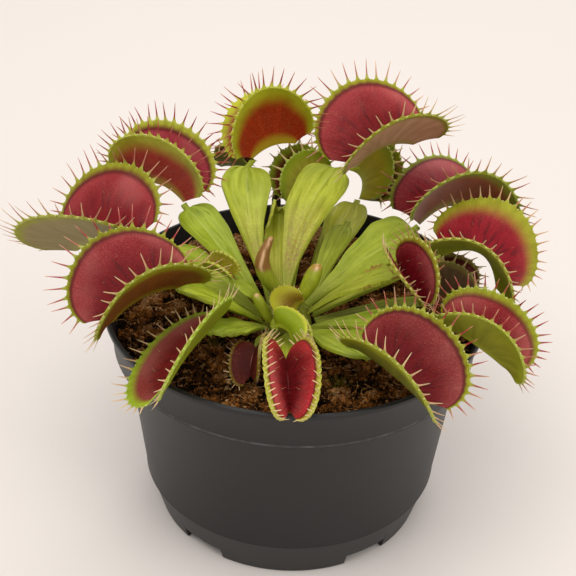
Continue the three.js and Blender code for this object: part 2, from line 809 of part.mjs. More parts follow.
function soilHeight(x, y) {
  let rise = 0;
  for (const clump of clumps) {
    const share = Math.hypot(x - clump.x, y - clump.y) / clump.radius;
    if (share < 1) rise = Math.max(rise, clump.rise * Math.sqrt(1 - share * share));
  }
  const fromCrown = Math.hypot(x - crownCentre.x, y - crownCentre.y);
  const calm = THREE.MathUtils.smoothstep(fromCrown, 9, 18);
  const fall = THREE.MathUtils.smoothstep(Math.hypot(x, y), 50, 58);
  return soilLevel - 0.6 + rise * (0.3 + 0.7 * calm) - 0.8 * fall;
}

function soilGeometry() {
  const top = THREE.MathUtils.lerp(
    collarRadius - wallThickness,
    rimRadius - wallThickness - 0.2,
    (soilLevel - collarHeight) / (potHeight - collarHeight),
  );
  const sides = [
    [top - soilGap - 0.35, null],
    [collarRadius - wallThickness - soilGap - 0.15, collarHeight + 1.8],
    [neckRadius - wallThickness - soilGap - 0.1, collarHeight - 0.8],
    [ringRadius - wallThickness - soilGap - 0.1, ringHeight],
    [footRadius - wallThickness - soilGap, floorTop + soilGap],
  ];
  const points = [];
  const triangles = [];
  const ring = (radius, height) =>
    Array.from({ length: roundSegments }, (_, i) => {
      const turn = (2 * Math.PI * i) / roundSegments;
      const x = radius * Math.cos(turn);
      const y = radius * Math.sin(turn);
      points.push(new THREE.Vector3(x, y, height ?? soilHeight(x, y)));
      return points.length - 1;
    });
  const centreOf = (height) => {
    points.push(new THREE.Vector3(0, 0, height));
    return Array(roundSegments).fill(points.length - 1);
  };
  const rings = [centreOf(floorTop + soilGap)];
  for (const [radius, height] of [...sides].reverse()) rings.push(ring(radius, height));
  for (let k = soilRings - 1; k > 0; k--) rings.push(ring((sides[0][0] * k) / soilRings, null));
  rings.push(centreOf(soilHeight(0, 0)));
  for (let k = 0; k + 1 < rings.length; k++) {
    for (let i = 0; i < roundSegments; i++) {
      const j = (i + 1) % roundSegments;
      const [a, b, c, d] = [rings[k][i], rings[k][j], rings[k + 1][j], rings[k + 1][i]];
      if (a !== b) triangles.push([a, b, c]);
      if (c !== d) triangles.push([a, c, d]);
    }
  }
  return geometryOf(points, triangles);
}

function holeCutter(x, y, radius, floor) {
  const profile = [
    [0, floor],
    [radius, floor],
    [radius, soilLevel + 10],
    [0, soilLevel + 10],
  ];
  return solidOf(revolve(profile, 24, new THREE.Vector3(x, y, 0)));
}

const soil = solidOf(soilGeometry())
  .subtract(holeCutter(crownCentre.x, crownCentre.y, crownHoleRadius, crownHoleFloor))
  .subtract(holeCutter(deadLeaf.line[0][0], deadLeaf.line[0][1], deadLeaf.holeRadius, deadLeaf.holeFloor));
addMesh("soil", geometryFrom(soil), 0x4a3322, 0.95);

const crownProfile = [
  [0, crownFoot],
  [crownRadius - 1.2, crownFoot],
  [crownRadius, crownFoot + 1.6],
  [crownRadius, tiers.low.height],
  [tiers.mid.radius - 0.7, tiers.mid.height],
  [tiers.top.radius - 0.8, tiers.top.height],
  [1.6, tiers.top.height + 1.9],
  [0, tiers.top.height + 2.4],
];
addMesh("crown", revolve(crownProfile, 24, crownCentre), 0xb9bf86, 0.6);

// Leaves.
const bladeGrids = new Map();
for (const leaf of leaves) {
  const { out } = trapFrame(leaf.trap);
  const neckTip = vector(leaf.trap.foot).addScaledVector(out, -neckDrop);
  bladeGrids.set(leaf.name, bladeGrid(leaf.blade, neckTip));
  sampleBlade(leaf.name + " blade", bladeGrids.get(leaf.name));
  sampleTrap(leaf);
}
for (const leaf of bareLeaves) {
  bladeGrids.set(leaf.name, bladeGrid(leaf.blade, vector(leaf.tip)));
  sampleBlade(leaf.name, bladeGrids.get(leaf.name));
}
for (const bud of [...buds, deadLeaf]) sampleTube(bud);

leaves.forEach((leaf, i) => {
  addMesh(leaf.name + "_blade", sheet(bladeGrids.get(leaf.name), bladeThickness), 0x9fb53a, 0.5);
  addMesh(leaf.name + "_trap", trapGeometry(leaf, makeRandom(700 + 13 * i)), 0x9c2f3a, 0.45);
});
for (const leaf of bareLeaves) {
  const name = leaf.name.startsWith("leaf") ? leaf.name + "_blade" : leaf.name;
  addMesh(name, sheet(bladeGrids.get(leaf.name), bladeThickness), 0x8fa636, 0.5);
}
for (const bud of buds) addMesh(bud.name, tube(bud.line, bud.radii, 10), 0xa6a14a, 0.5);
addMesh(deadLeaf.name, tube(deadLeaf.line, deadLeaf.radii, 8), 0x2a2420, 0.9);

export default group;
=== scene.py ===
import math

import bpy
import numpy as np
from mathutils import Matrix, Vector, noise


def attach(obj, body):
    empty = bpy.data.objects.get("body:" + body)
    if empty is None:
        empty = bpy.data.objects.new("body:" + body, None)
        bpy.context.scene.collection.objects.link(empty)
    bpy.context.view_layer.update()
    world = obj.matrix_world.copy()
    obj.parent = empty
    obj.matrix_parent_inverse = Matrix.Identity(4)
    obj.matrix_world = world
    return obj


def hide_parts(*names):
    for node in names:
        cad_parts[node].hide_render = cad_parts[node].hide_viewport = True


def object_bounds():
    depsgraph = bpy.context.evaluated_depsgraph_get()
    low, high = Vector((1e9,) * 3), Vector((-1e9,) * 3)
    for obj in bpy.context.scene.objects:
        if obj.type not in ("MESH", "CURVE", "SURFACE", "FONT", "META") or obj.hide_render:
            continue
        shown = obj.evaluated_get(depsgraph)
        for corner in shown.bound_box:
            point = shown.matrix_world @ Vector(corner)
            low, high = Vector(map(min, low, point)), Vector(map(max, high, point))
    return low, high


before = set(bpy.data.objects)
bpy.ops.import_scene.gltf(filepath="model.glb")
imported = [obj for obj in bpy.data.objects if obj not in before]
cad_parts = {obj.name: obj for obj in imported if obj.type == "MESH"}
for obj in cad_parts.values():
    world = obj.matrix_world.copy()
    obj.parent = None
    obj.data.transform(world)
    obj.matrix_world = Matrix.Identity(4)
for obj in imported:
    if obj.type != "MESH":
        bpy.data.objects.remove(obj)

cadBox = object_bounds()
mm = 0.001
print("frame loaded:", len(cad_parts), "nodes")


def colour(red, green, blue):
    # A colour as the eye reads it, 0 to 255, made linear for the shader.
    def linear(value):
        share = value / 255
        return share / 12.92 if share <= 0.04045 else ((share + 0.055) / 1.055) ** 2.4
    return (linear(red), linear(green), linear(blue), 1.0)


def smooth(low, high, value):
    # 0 below low, 1 above high, and a smooth step between them.
    share = np.clip((value - low) / (high - low), 0.0, 1.0)
    return share * share * (3 - 2 * share)


def makeRandom(seed):
    # Even numbers from 0 to 1, the same on every run.
    state = [seed]

    def draw():
        state[0] = (state[0] * 1664525 + 1013904223) % 4294967296
        return state[0] / 4294967296
    return draw


def between(draw, low, high):
    return low + (high - low) * draw()


def anySpot(draw, reach, even=True):
    # A spot within reach of the middle, spread evenly or crowded towards it.
    turn = 2 * math.pi * draw()
    share = draw()
    away = reach * (math.sqrt(share) if even else share)
    return np.array([away * math.cos(turn), away * math.sin(turn)])


def noiseAt(spots):
    return np.array([noise.noise(Vector(spot)) for spot in spots])


# Selecting, shaping and finishing a piece.

def clearSelection():
    if bpy.context.object and bpy.context.object.mode != "OBJECT":
        bpy.ops.object.mode_set(mode="OBJECT")
    bpy.ops.object.select_all(action="DESELECT")


def activate(piece):
    clearSelection()
    piece.select_set(True)
    bpy.context.view_layer.objects.active = piece


def addShape(primitive, **settings):
    clearSelection()
    primitive(**settings)
    return bpy.context.object


def copyOf(pattern):
    # A copy with its own mesh.
    piece = pattern.copy()
    piece.data = pattern.data.copy()
    bpy.context.collection.objects.link(piece)
    return piece


def extrude(x, y, z):
    bpy.ops.mesh.extrude_region_move(TRANSFORM_OT_translate={"value": (x, y, z)})


def pullUp(radius, start, rings):
    # Pulls the selected faces up through rings, each of a radius and a middle.
    for nextRadius, middle in rings:
        extrude(*(Vector(middle) - Vector(start)))
        share = nextRadius / radius
        bpy.ops.transform.resize(value=(share, share, 1), center_override=middle)
        radius, start = nextRadius, middle


def growRod(rod, radius, start, rings):
    # Makes a closed rod from a disc, pulled up through rings.
    bpy.ops.object.mode_set(mode="EDIT")
    bpy.ops.mesh.select_all(action="SELECT")
    pullUp(radius, start, rings)
    bpy.ops.mesh.select_all(action="SELECT")
    bpy.ops.mesh.normals_make_consistent(inside=False)
    bpy.ops.object.mode_set(mode="OBJECT")


def pointsOf(piece):
    points = np.empty(len(piece.data.vertices) * 3)
    piece.data.vertices.foreach_get("co", points)
    return points.reshape(-1, 3)


def setPoints(piece, points):
    piece.data.vertices.foreach_set("co", np.asarray(points, float).ravel())
    piece.data.update()


def applyModifiers(piece):
    activate(piece)
    for modifier in list(piece.modifiers):
        bpy.ops.object.modifier_apply(modifier=modifier.name)


def applyPlace(piece):
    activate(piece)
    bpy.ops.object.transform_apply(location=True, rotation=True, scale=True)


def joinPieces(pieces):
    clearSelection()
    for piece in pieces:
        piece.select_set(True)
    bpy.context.view_layer.objects.active = pieces[0]
    bpy.ops.object.join()
    return pieces[0]


def addFacts(piece, **facts):
    # Each fact becomes an attribute: a colour or a value for the whole piece, or a value for each point.
    count = len(piece.data.vertices)
    for name, value in facts.items():
        if isinstance(value, tuple):
            layer = piece.data.attributes.new(name, "FLOAT_COLOR", "POINT")
            layer.data.foreach_set("color", np.tile(value, count))
        else:
            layer = piece.data.attributes.new(name, "FLOAT", "POINT")
            layer.data.foreach_set("value", np.full(count, value))


def finishPiece(piece, name, node, angle=40):
    piece.name = name
    piece.data.name = name
    activate(piece)
    bpy.ops.object.shade_smooth_by_angle(angle=math.radians(angle))
    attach(piece, "root")
    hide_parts(node)


# Shader maths: a Wire is one value on a material's bench, and its operators add Math nodes.

class Wire:
    def __init__(self, bench, socket):
        self.bench = bench
        self.socket = socket

    def maths(self, operation, *values):
        return self.bench.node("ShaderNodeMath", {"operation": operation}, dict(enumerate(values)))

    def __add__(self, other):
        return self.maths("ADD", self, other)

    __radd__ = __add__

    def __mul__(self, other):
        return self.maths("MULTIPLY", self, other)

    __rmul__ = __mul__

    def __sub__(self, other):
        return self.maths("SUBTRACT", self, other)

    def __rsub__(self, other):
        return self.maths("SUBTRACT", other, self)

    def __abs__(self):
        return self.maths("ABSOLUTE", self)

    def ramp(self, low, high):
        # 0 below low, 1 above high, and a smooth step between them.
        settings = {"interpolation_type": "SMOOTHSTEP"}
        values = {"Value": self, "From Min": low, "From Max": high}
        return self.bench.node("ShaderNodeMapRange", settings, values)

    def output(self, name):
        return Wire(self.bench, self.socket.node.outputs[name])


class Bench:
    def __init__(self, name):
        self.material = bpy.data.materials.new(name)
        self.material.use_nodes = True
        self.tree = self.material.node_tree
        self.tree.nodes.clear()

    def node(self, kind, settings=None, values=None, out=0):
        made = self.tree.nodes.new(kind)
        for key, value in (settings or {}).items():
            if key == "stops":
                for at, shade in value[2:]:
                    made.color_ramp.elements.new(at)
                for element, (at, shade) in zip(made.color_ramp.elements, value):
                    element.position = at
                    element.color = shade
            else:
                setattr(made, key, value)
        for key, value in (values or {}).items():
            if isinstance(value, Wire):
                self.tree.links.new(value.socket, made.inputs[key])
            else:
                made.inputs[key].default_value = value
        return Wire(self, made.outputs[out])

    def place(self):
        return self.node("ShaderNodeTexCoord", out="Object")

    def span(self):
        # The piece's own map: across it and along it, from 0 to 1.
        span = self.node("ShaderNodeUVMap", {"uv_map": "span"})
        parts = self.node("ShaderNodeSeparateXYZ", values={0: span})
        return parts, parts.output("Y")

    def fact(self, name, out="Fac"):
        return self.node("ShaderNodeAttribute", {"attribute_name": name}, out=out)

    def shade(self, name):
        return self.fact(name, "Color")

    def stretch(self, x, y, z=0.0):
        return self.node("ShaderNodeCombineXYZ", values={"X": x, "Y": y, "Z": z})

    def grain(self, where, scale, detail=3.0, roughness=0.55, out=0):
        values = {"Vector": where, "Scale": scale, "Detail": detail, "Roughness": roughness}
        return self.node("ShaderNodeTexNoise", None, values, out)

    def cells(self, where, scale, out="Distance"):
        return self.node("ShaderNodeTexVoronoi", None, {"Vector": where, "Scale": scale}, out)

    def mix(self, share, first, second, blend="MIX"):
        settings = {"data_type": "RGBA", "blend_type": blend}
        return self.node("ShaderNodeMix", settings, {0: share, 6: first, 7: second}, 2)

    def dim(self, base, *tone):
        # A shade multiplied by a tone, so that it is darker in its own colour.
        return self.mix(1.0, base, colour(*tone), "MULTIPLY")

    def bump(self, height, strength, depth, below=None):
        values = {"Height": height, "Strength": strength, "Distance": depth}
        if below:
            values["Normal"] = below
        return self.node("ShaderNodeBump", None, values)

    def finish(self, **values):
        # The surface shader, with short names for its sockets.
        names = {
            "base": "Base Color",
            "rough": "Roughness",
            "normal": "Normal",
            "shine": "Specular IOR Level",
            "soft": "Subsurface Weight",
            "depth": "Subsurface Scale",
            "bleed": "Subsurface Radius",
        }
        sockets = {names[key]: value for key, value in values.items()}
        shader = self.node("ShaderNodeBsdfPrincipled", None, sockets)
        surface = self.tree.nodes.new("ShaderNodeOutputMaterial")
        self.tree.links.new(shader.socket, surface.inputs["Surface"])
        return self.material


# Camera, floor and lights.

camera = {
    "spot": (0, -342.9 * mm, 301 * mm),
    "down": 32.93,
    "turn": 0.41,
    "roll": 1.97,
    "lens": 81.4,
}


def setCamera():
    eye = bpy.data.cameras.new("camera")
    eye.lens = camera["lens"]
    eye.sensor_width = 36
    eye.clip_start = 0.01
    holder = bpy.data.objects.new("camera", eye)
    turn = Matrix.Rotation(math.radians(camera["turn"]), 4, "Z")
    tilt = Matrix.Rotation(math.radians(90 - camera["down"]), 4, "X")
    roll = Matrix.Rotation(math.radians(camera["roll"]), 4, "Z")
    holder.matrix_world = Matrix.Translation(camera["spot"]) @ turn @ tilt @ roll
    bpy.context.collection.objects.link(holder)
    bpy.context.scene.camera = holder


studio = {
    "floorSize": 6.0,
    "floor": colour(230, 223, 218),
    "floorPatch": colour(228, 220, 214),
    "world": (1.0, 0.98, 0.96, 1.0),
    "worldStrength": 0.7,
    "lampTint": (1.0, 0.98, 0.96),
    "lampAim": (0, 0, 0.08),
    "lamps": [
        {"name": "keyLamp", "spot": (-0.2, -0.35, 1.05), "size": 0.75, "power": 5.6},
        {"name": "fillLamp", "spot": (0.75, -0.5, 0.7), "size": 0.8, "power": 2.6},
        {"name": "backLamp", "spot": (0.1, 0.8, 0.8), "size": 0.6, "power": 2.4},
    ],
}


def setStudio():
    scene = bpy.context.scene
    scene.view_settings.view_transform = "Standard"
    world = bpy.data.worlds.new("studio")
    world.use_nodes = True
    scene.world = world
    background = world.node_tree.nodes["Background"]
    background.inputs["Color"].default_value = studio["world"]
    background.inputs["Strength"].default_value = studio["worldStrength"]
    for lamp in studio["lamps"]:
        light = bpy.data.lights.new(lamp["name"], "AREA")
        light.size = lamp["size"]
        light.energy = lamp["power"]
        light.color = studio["lampTint"]
        holder = bpy.data.objects.new(lamp["name"], light)
        aim = (Vector(studio["lampAim"]) - Vector(lamp["spot"])).to_track_quat("-Z", "Y")
        holder.matrix_world = Matrix.Translation(lamp["spot"]) @ aim.to_matrix().to_4x4()
        bpy.context.collection.objects.link(holder)
    floor = addShape(bpy.ops.mesh.primitive_plane_add, size=studio["floorSize"])
    floor.name = "floor"
    bench = Bench("floorPaper")
    patches = bench.grain(bench.place(), 3.0, 2.0)
    base = bench.mix(patches, studio["floor"], studio["floorPatch"])
    floor.data.materials.append(bench.finish(base=base, rough=0.9, shine=0.2))


setCamera()
setStudio()
print("camera, floor and lights set")


# Pot: one moulded wall pulled up from its foot ring, with drain notches cut through the foot.

pot = {
    "sides": 144,
    "base": 0.6 * mm,
    "floorBottom": 3 * mm,
    "floorTop": 4.4 * mm,
    "wall": 1.3 * mm,
    "foot": 43.9 * mm,
    "ring": (48.1 * mm, 14.2 * mm),
    "neck": 53.6 * mm,
    "collar": (57.1 * mm, 61.8 * mm),
    "rim": 60 * mm,
    "height": 75.6 * mm,
    "lip": 1.6 * mm,
    "notches": 5,
    "notchAngle": -127,
    "notchSize": (12 * mm, 15 * mm, 5.2 * mm),
    "bead": 0.32 * mm,
    "edge": 0.46 * mm,
    "edgeAngle": 28,
}


def makePotPlastic():
    bench = Bench("potPlastic")
    where = bench.place()
    drifts = bench.grain(where, 22.0, 4.0)
    pores = bench.grain(where, 900.0, 3.0, 0.7)
    specks = bench.cells(where, 420.0)
    dust = (1 - specks.ramp(0.04, 0.13)) * bench.grain(where, 60.0, 2.0).ramp(0.52, 0.74)
    base = bench.mix(drifts.ramp(0.3, 0.75), colour(20, 19, 19), colour(27, 26, 26))
    base = bench.mix(dust * 0.45, base, colour(104, 92, 80))
    rough = 0.4 + drifts * 0.14 + dust * 0.2
    normal = bench.bump(pores, 0.2, 0.0001)
    return bench.finish(base=base, rough=rough, normal=normal, shine=0.4)


def makePotEdgeHighlight():
    # The moulded edges, with a painted highlight: paler than the walls, and smoother.
    bench = Bench("potEdgeHighlight")
    highlightPatches = bench.grain(bench.place(), 240.0, 3.0)
    base = bench.mix(highlightPatches.ramp(0.35, 0.7), colour(38, 37, 36), colour(70, 68, 67))
    return bench.finish(base=base, rough=0.3 + highlightPatches * 0.15, shine=0.5)


def makePot():
    base, wall = pot["base"], pot["wall"]
    radius = pot["foot"] - 0.3 * mm
    body = addShape(
        bpy.ops.mesh.primitive_cylinder_add,
        vertices=pot["sides"], radius=radius, depth=base, location=(0, 0, base / 2)
    )
    applyPlace(body)
    ringRadius, ringHeight = pot["ring"]
    collarRadius, collarHeight = pot["collar"]
    rim, top, lip, bead = pot["rim"], pot["height"], pot["lip"], pot["bead"]
    profile = [
        (pot["foot"] + 0.2 * mm, base),
        (ringRadius - 0.3 * mm, ringHeight - 0.4 * mm),
        (ringRadius + bead, ringHeight),
        (ringRadius + bead, ringHeight + 0.3 * mm),
        (ringRadius + 0.2 * mm, ringHeight + 0.9 * mm),
        (pot["neck"], collarHeight - 0.3 * mm),
        (collarRadius - 0.3 * mm, collarHeight - 0.3 * mm),
        (collarRadius + bead, collarHeight),
        (collarRadius + bead, collarHeight + 0.3 * mm),
        (collarRadius + 0.1 * mm, collarHeight + 0.9 * mm),
        (rim - 0.9 * mm, top - lip - 0.5 * mm),
        (rim, top - lip),
        (rim, top - 0.4 * mm),
        (rim - 0.4 * mm, top),
        (rim - wall + 0.2 * mm, top),
        (rim - wall - 0.2 * mm, top - 0.5 * mm),
        (collarRadius - wall, collarHeight + 1.2 * mm),
        (pot["neck"] - wall, collarHeight - 1.2 * mm),
        (ringRadius - wall, ringHeight),
        (pot["foot"] - wall + 0.4 * mm, pot["floorTop"]),
    ]
    bpy.ops.object.mode_set(mode="EDIT")
    bpy.ops.mesh.select_mode(type="FACE")
    selectFlat(body, base, up=True)
    pullUp(radius, (0, 0, base), [(wide, (0, 0, height)) for wide, height in profile])
    selectFlat(body, 0.0, up=False)
    for inset, lift in ((wall, 0.0), (0.4 * mm, pot["floorBottom"]), (pot["foot"] - wall - 8 * mm, 0.0)):
        bpy.ops.mesh.inset(thickness=inset)
        bpy.ops.transform.translate(value=(0, 0, lift))
    extrude(0, 0, -pot["floorBottom"])
    bpy.ops.object.mode_set(mode="OBJECT")
    cutters = []
    for index in range(pot["notches"]):
        turn = math.radians(pot["notchAngle"] + index * 360 / pot["notches"])
        length, width, height = pot["notchSize"]
        cutter = addShape(bpy.ops.mesh.primitive_cube_add, size=1)
        cutter.scale = (length, width, height)
        cutter.location = (pot["foot"] * math.cos(turn), pot["foot"] * math.sin(turn), height / 2 - 0.5 * mm)
        cutter.rotation_euler = (0, 0, turn)
        applyPlace(cutter)
        cutters.append(cutter)
    cutter = joinPieces(cutters)
    cut = body.modifiers.new("drainNotches", "BOOLEAN")
    cut.operation = "DIFFERENCE"
    cut.object = cutter
    cut.solver = "EXACT"
    applyModifiers(body)
    bpy.data.objects.remove(cutter)
    edges = body.modifiers.new("mouldedEdges", "BEVEL")
    edges.width = pot["edge"]
    edges.segments = 2
    edges.limit_method = "ANGLE"
    edges.angle_limit = math.radians(pot["edgeAngle"])
    # The bevel faces take the second slot, which paints a highlight along the moulded edges.
    edges.material = 1
    body.data.materials.clear()
    body.data.materials.append(makePotPlastic())
    body.data.materials.append(makePotEdgeHighlight())
    applyModifiers(body)
    # The lips at the ring and the collar get the painted edge highlight too.
    for face in body.data.polygons:
        for height in (ringHeight, collarHeight):
            if height + 0.25 * mm < face.center.z < height + 0.9 * mm and face.normal.z > 0.2:
                face.material_index = 1
    finishPiece(body, "potBody", "pot", 30)


def selectFlat(piece, height, up):
    # Selects the flat faces at one height that look up or down. The piece is in edit mode.
    bpy.ops.mesh.select_all(action="DESELECT")
    bpy.ops.object.mode_set(mode="OBJECT")
    for face in piece.data.polygons:
        facing = face.normal.z > 0.99 if up else face.normal.z < -0.99
        face.select = facing and abs(face.center.z - height) < 0.01 * mm
    bpy.ops.object.mode_set(mode="EDIT")


makePot()
print("pot made")


# Soil: moist peat with clumps, loose crumbs and fibres on top.

soil = {
    "level": 67 * mm,
    "radius": 55.9 * mm,
    "cells": 200,
    "clumps": 240,
    "clumpReach": 57 * mm,
    "clumpRadius": (1.6 * mm, 4.6 * mm),
    "clumpRise": (0.6 * mm, 2.2 * mm),
    "clumpSeed": 41,
    "looseReach": 54 * mm,
    "looseSeed": 5,
    "bareRing": 10 * mm,
    "crumbs": 2200,
    "crumbSize": (0.25 * mm, 0.85 * mm),
    "crumbKinds": 12,
    "fibres": 520,
    "fibreKinds": 8,
    "fibreLength": (2.5, 6.5),
    "moss": [(13.5 * mm, -33 * mm), (-24.5 * mm, -15.5 * mm)],
    "mossBlades": 55,
    "mossReach": 4.2 * mm,
    "mossLength": (1.2, 2.8),
    "crown": (-2 * mm, -3.5 * mm),
    "crownHole": 8.15 * mm,
    "bank": 2.2 * mm,
}


def makePeat():
    bench = Bench("peat")
    where = bench.place()
    lift = bench.fact("lift")
    lumps = bench.grain(where, 260.0, 4.0, 0.65)
    grit = bench.grain(where, 1100.0, 4.0, 0.7)
    wander = bench.grain(where, 420.0, 3.0, 0.6, "Color")
    bend = {0: wander, 1: (0.004,) * 3, 2: where}
    bent = bench.node("ShaderNodeVectorMath", {"operation": "MULTIPLY_ADD"}, bend)
    pattern = {"Vector": bent, "Scale": 500.0}
    gaps = bench.node("ShaderNodeTexVoronoi", {"feature": "DISTANCE_TO_EDGE"}, pattern)
    shades = bench.grain(bench.cells(bent, 500.0, "Position"), 5000.0, 0.0)
    # lift paints shade into the bed: its hollows go dark and its clump tops pale. On crumbs and fibres, lift is
    # a random paleness.
    base = bench.node("ShaderNodeValToRGB", {"stops": [
        (0.26, colour(11, 7, 3)),
        (0.38, colour(52, 32, 12)),
        (0.5, colour(128, 77, 31)),
        (0.62, colour(184, 116, 52)),
        (0.8, colour(218, 170, 116)),
    ]}, {0: lift * 0.5 + lumps * 0.62 + grit * 0.42 + shades * 0.34 - 0.35})
    # Painted shade: the gaps between the crumbs are painted near black.
    base = bench.mix((1 - gaps.ramp(0.0, 0.08)) * 0.85, base, colour(14, 9, 4))
    moss = bench.mix(grit.ramp(0.35, 0.7), colour(84, 88, 16), colour(150, 148, 44))
    base = bench.mix(bench.fact("moss"), base, moss)
    normal = bench.bump(grit * 0.5 + lumps * 0.4 + gaps.ramp(0.0, 0.25) * 0.5, 1.0, 0.001)
    return bench.finish(base=base, rough=0.93, normal=normal, shine=0.12)


def clumpField():
    draw = makeRandom(soil["clumpSeed"])
    clumps = []
    for _ in range(soil["clumps"]):
        spot = anySpot(draw, soil["clumpReach"])
        radius = between(draw, *soil["clumpRadius"])
        clumps.append((*spot, radius, between(draw, *soil["clumpRise"])))
    return clumps


def soilHeight(x, y, clumps):
    rise = np.zeros_like(x)
    for clumpX, clumpY, radius, height in clumps:
        share = np.hypot(x - clumpX, y - clumpY) / radius
        rise = np.maximum(rise, np.where(share < 1, height * np.sqrt(np.clip(1 - share * share, 0, 1)), 0))
    fromCrown = np.hypot(x - soil["crown"][0], y - soil["crown"][1])
    calm = smooth(9 * mm, 18 * mm, fromCrown)
    away = np.hypot(x, y)
    fall = smooth(50 * mm, 58 * mm, away)
    # The bed banks up a little towards the back of the pot.
    bank = soil["bank"] * smooth(34 * mm, 50 * mm, away) * smooth(0.0, 28 * mm, y)
    return soil["level"] - 0.6 * mm + rise * (0.3 + 0.7 * calm) - 0.8 * mm * fall + bank


def roughen(points, calm):
    # Crumbly height added to the soil's surface.
    spots = points * [1, 1, 0] / mm
    lumps = noiseAt(spots * 0.3) * 0.9
    ridges = (0.42 - np.abs(noiseAt(spots * 0.7 + [7, 3, 1]))) * 1.9
    crumbs = (0.4 - np.abs(noiseAt(spots * 1.4 + [1, 9, 4]))) * 1.5
    return (lumps + ridges + crumbs - 1.15) * mm * calm


def makeCrumb(draw, material):
    # A crumb of unit size, with its own lumps and paleness.
    crumb = addShape(bpy.ops.mesh.primitive_uv_sphere_add, segments=6, ring_count=4, radius=1)
    points = pointsOf(crumb)
    offset = np.array([draw() * 50, draw() * 50, draw() * 50])
    swell = 1 + 1.5 * noiseAt(points * 1.7 + offset)
    sizes = [between(draw, 0.9, 1.5), between(draw, 0.7, 1.1), between(draw, 0.6, 0.9)]
    setPoints(crumb, points * swell[:, None] * sizes)
    crumb.data.materials.append(material)
    addFacts(crumb, lift=between(draw, 0.3, 1.0), moss=0.0)
    return crumb


def makeFibre(draw, material, lean, moss):
    # A thread of peat or moss about one unit long, pulled up ring by ring and bent.
    thin = 0.028
    fibre = addShape(bpy.ops.mesh.primitive_circle_add, vertices=3, radius=thin, fill_type="NGON")
    growRod(fibre, thin, (0, 0, 0), [(thin, (0, 0, step / 5)) for step in range(1, 6)])
    points = pointsOf(fibre)
    share = points[:, 2].copy()
    points[:, 0] += between(draw, -0.4, 0.4) * np.sin(math.pi * share)
    points[:, 1] += between(draw, -0.3, 0.3) * share * share
    turn = Matrix.Rotation(between(draw, *lean), 3, "X")
    setPoints(fibre, points @ np.array(turn).T)
    fibre.data.materials.append(material)
    addFacts(fibre, lift=between(draw, 0.6, 1.1), moss=moss)
    return fibre


def copyAt(pattern, draw, size, spot):
    # A copy of a pattern, turned about the upright and set down at a spot.
    piece = copyOf(pattern)
    turn = Matrix.Rotation(2 * math.pi * draw(), 3, "Z")
    setPoints(piece, pointsOf(piece) @ np.array(turn).T * size + spot)
    return piece


def scatter(bed, surface, peat):
    # Loose crumbs, fibres and two tufts of moss on the soil's surface.
    draw = makeRandom(soil["looseSeed"])
    smallest, largest = soil["crumbSize"]
    crumbs = [makeCrumb(draw, peat) for _ in range(soil["crumbKinds"])]
    fibres = [makeFibre(draw, peat, (1.1, 1.55), 0.0) for _ in range(soil["fibreKinds"])]
    mosses = [makeFibre(draw, peat, (0.1, 0.9), 1.0) for _ in range(soil["fibreKinds"])]
    loose = [bed]

    def ground(spot):
        near = np.argmin(np.hypot(surface[:, 0] - spot[0], surface[:, 1] - spot[1]))
        return np.array([spot[0], spot[1], surface[near, 2]])

    for index in range(soil["crumbs"] + soil["fibres"]):
        spot = anySpot(draw, soil["looseReach"])
        size = smallest + (largest - smallest) * draw() ** 2.2
        if np.hypot(*(spot - soil["crown"])) < soil["bareRing"]:
            continue
        kinds, sink = (crumbs, 0.3 * size) if index < soil["crumbs"] else (fibres, 0.15 * mm)
        if kinds is fibres:
            size = between(draw, *soil["fibreLength"]) * mm
        loose.append(copyAt(kinds[index % len(kinds)], draw, size, ground(spot) + [0, 0, sink]))
    for middle in soil["moss"]:
        for index in range(soil["mossBlades"]):
            spot = middle + anySpot(draw, soil["mossReach"], even=False)
            size = between(draw, *soil["mossLength"]) * mm
            loose.append(copyAt(mosses[index % len(mosses)], draw, size, ground(spot)))
    joined = joinPieces(loose)
    for pattern in crumbs + fibres + mosses:
        bpy.data.objects.remove(pattern)
    return joined


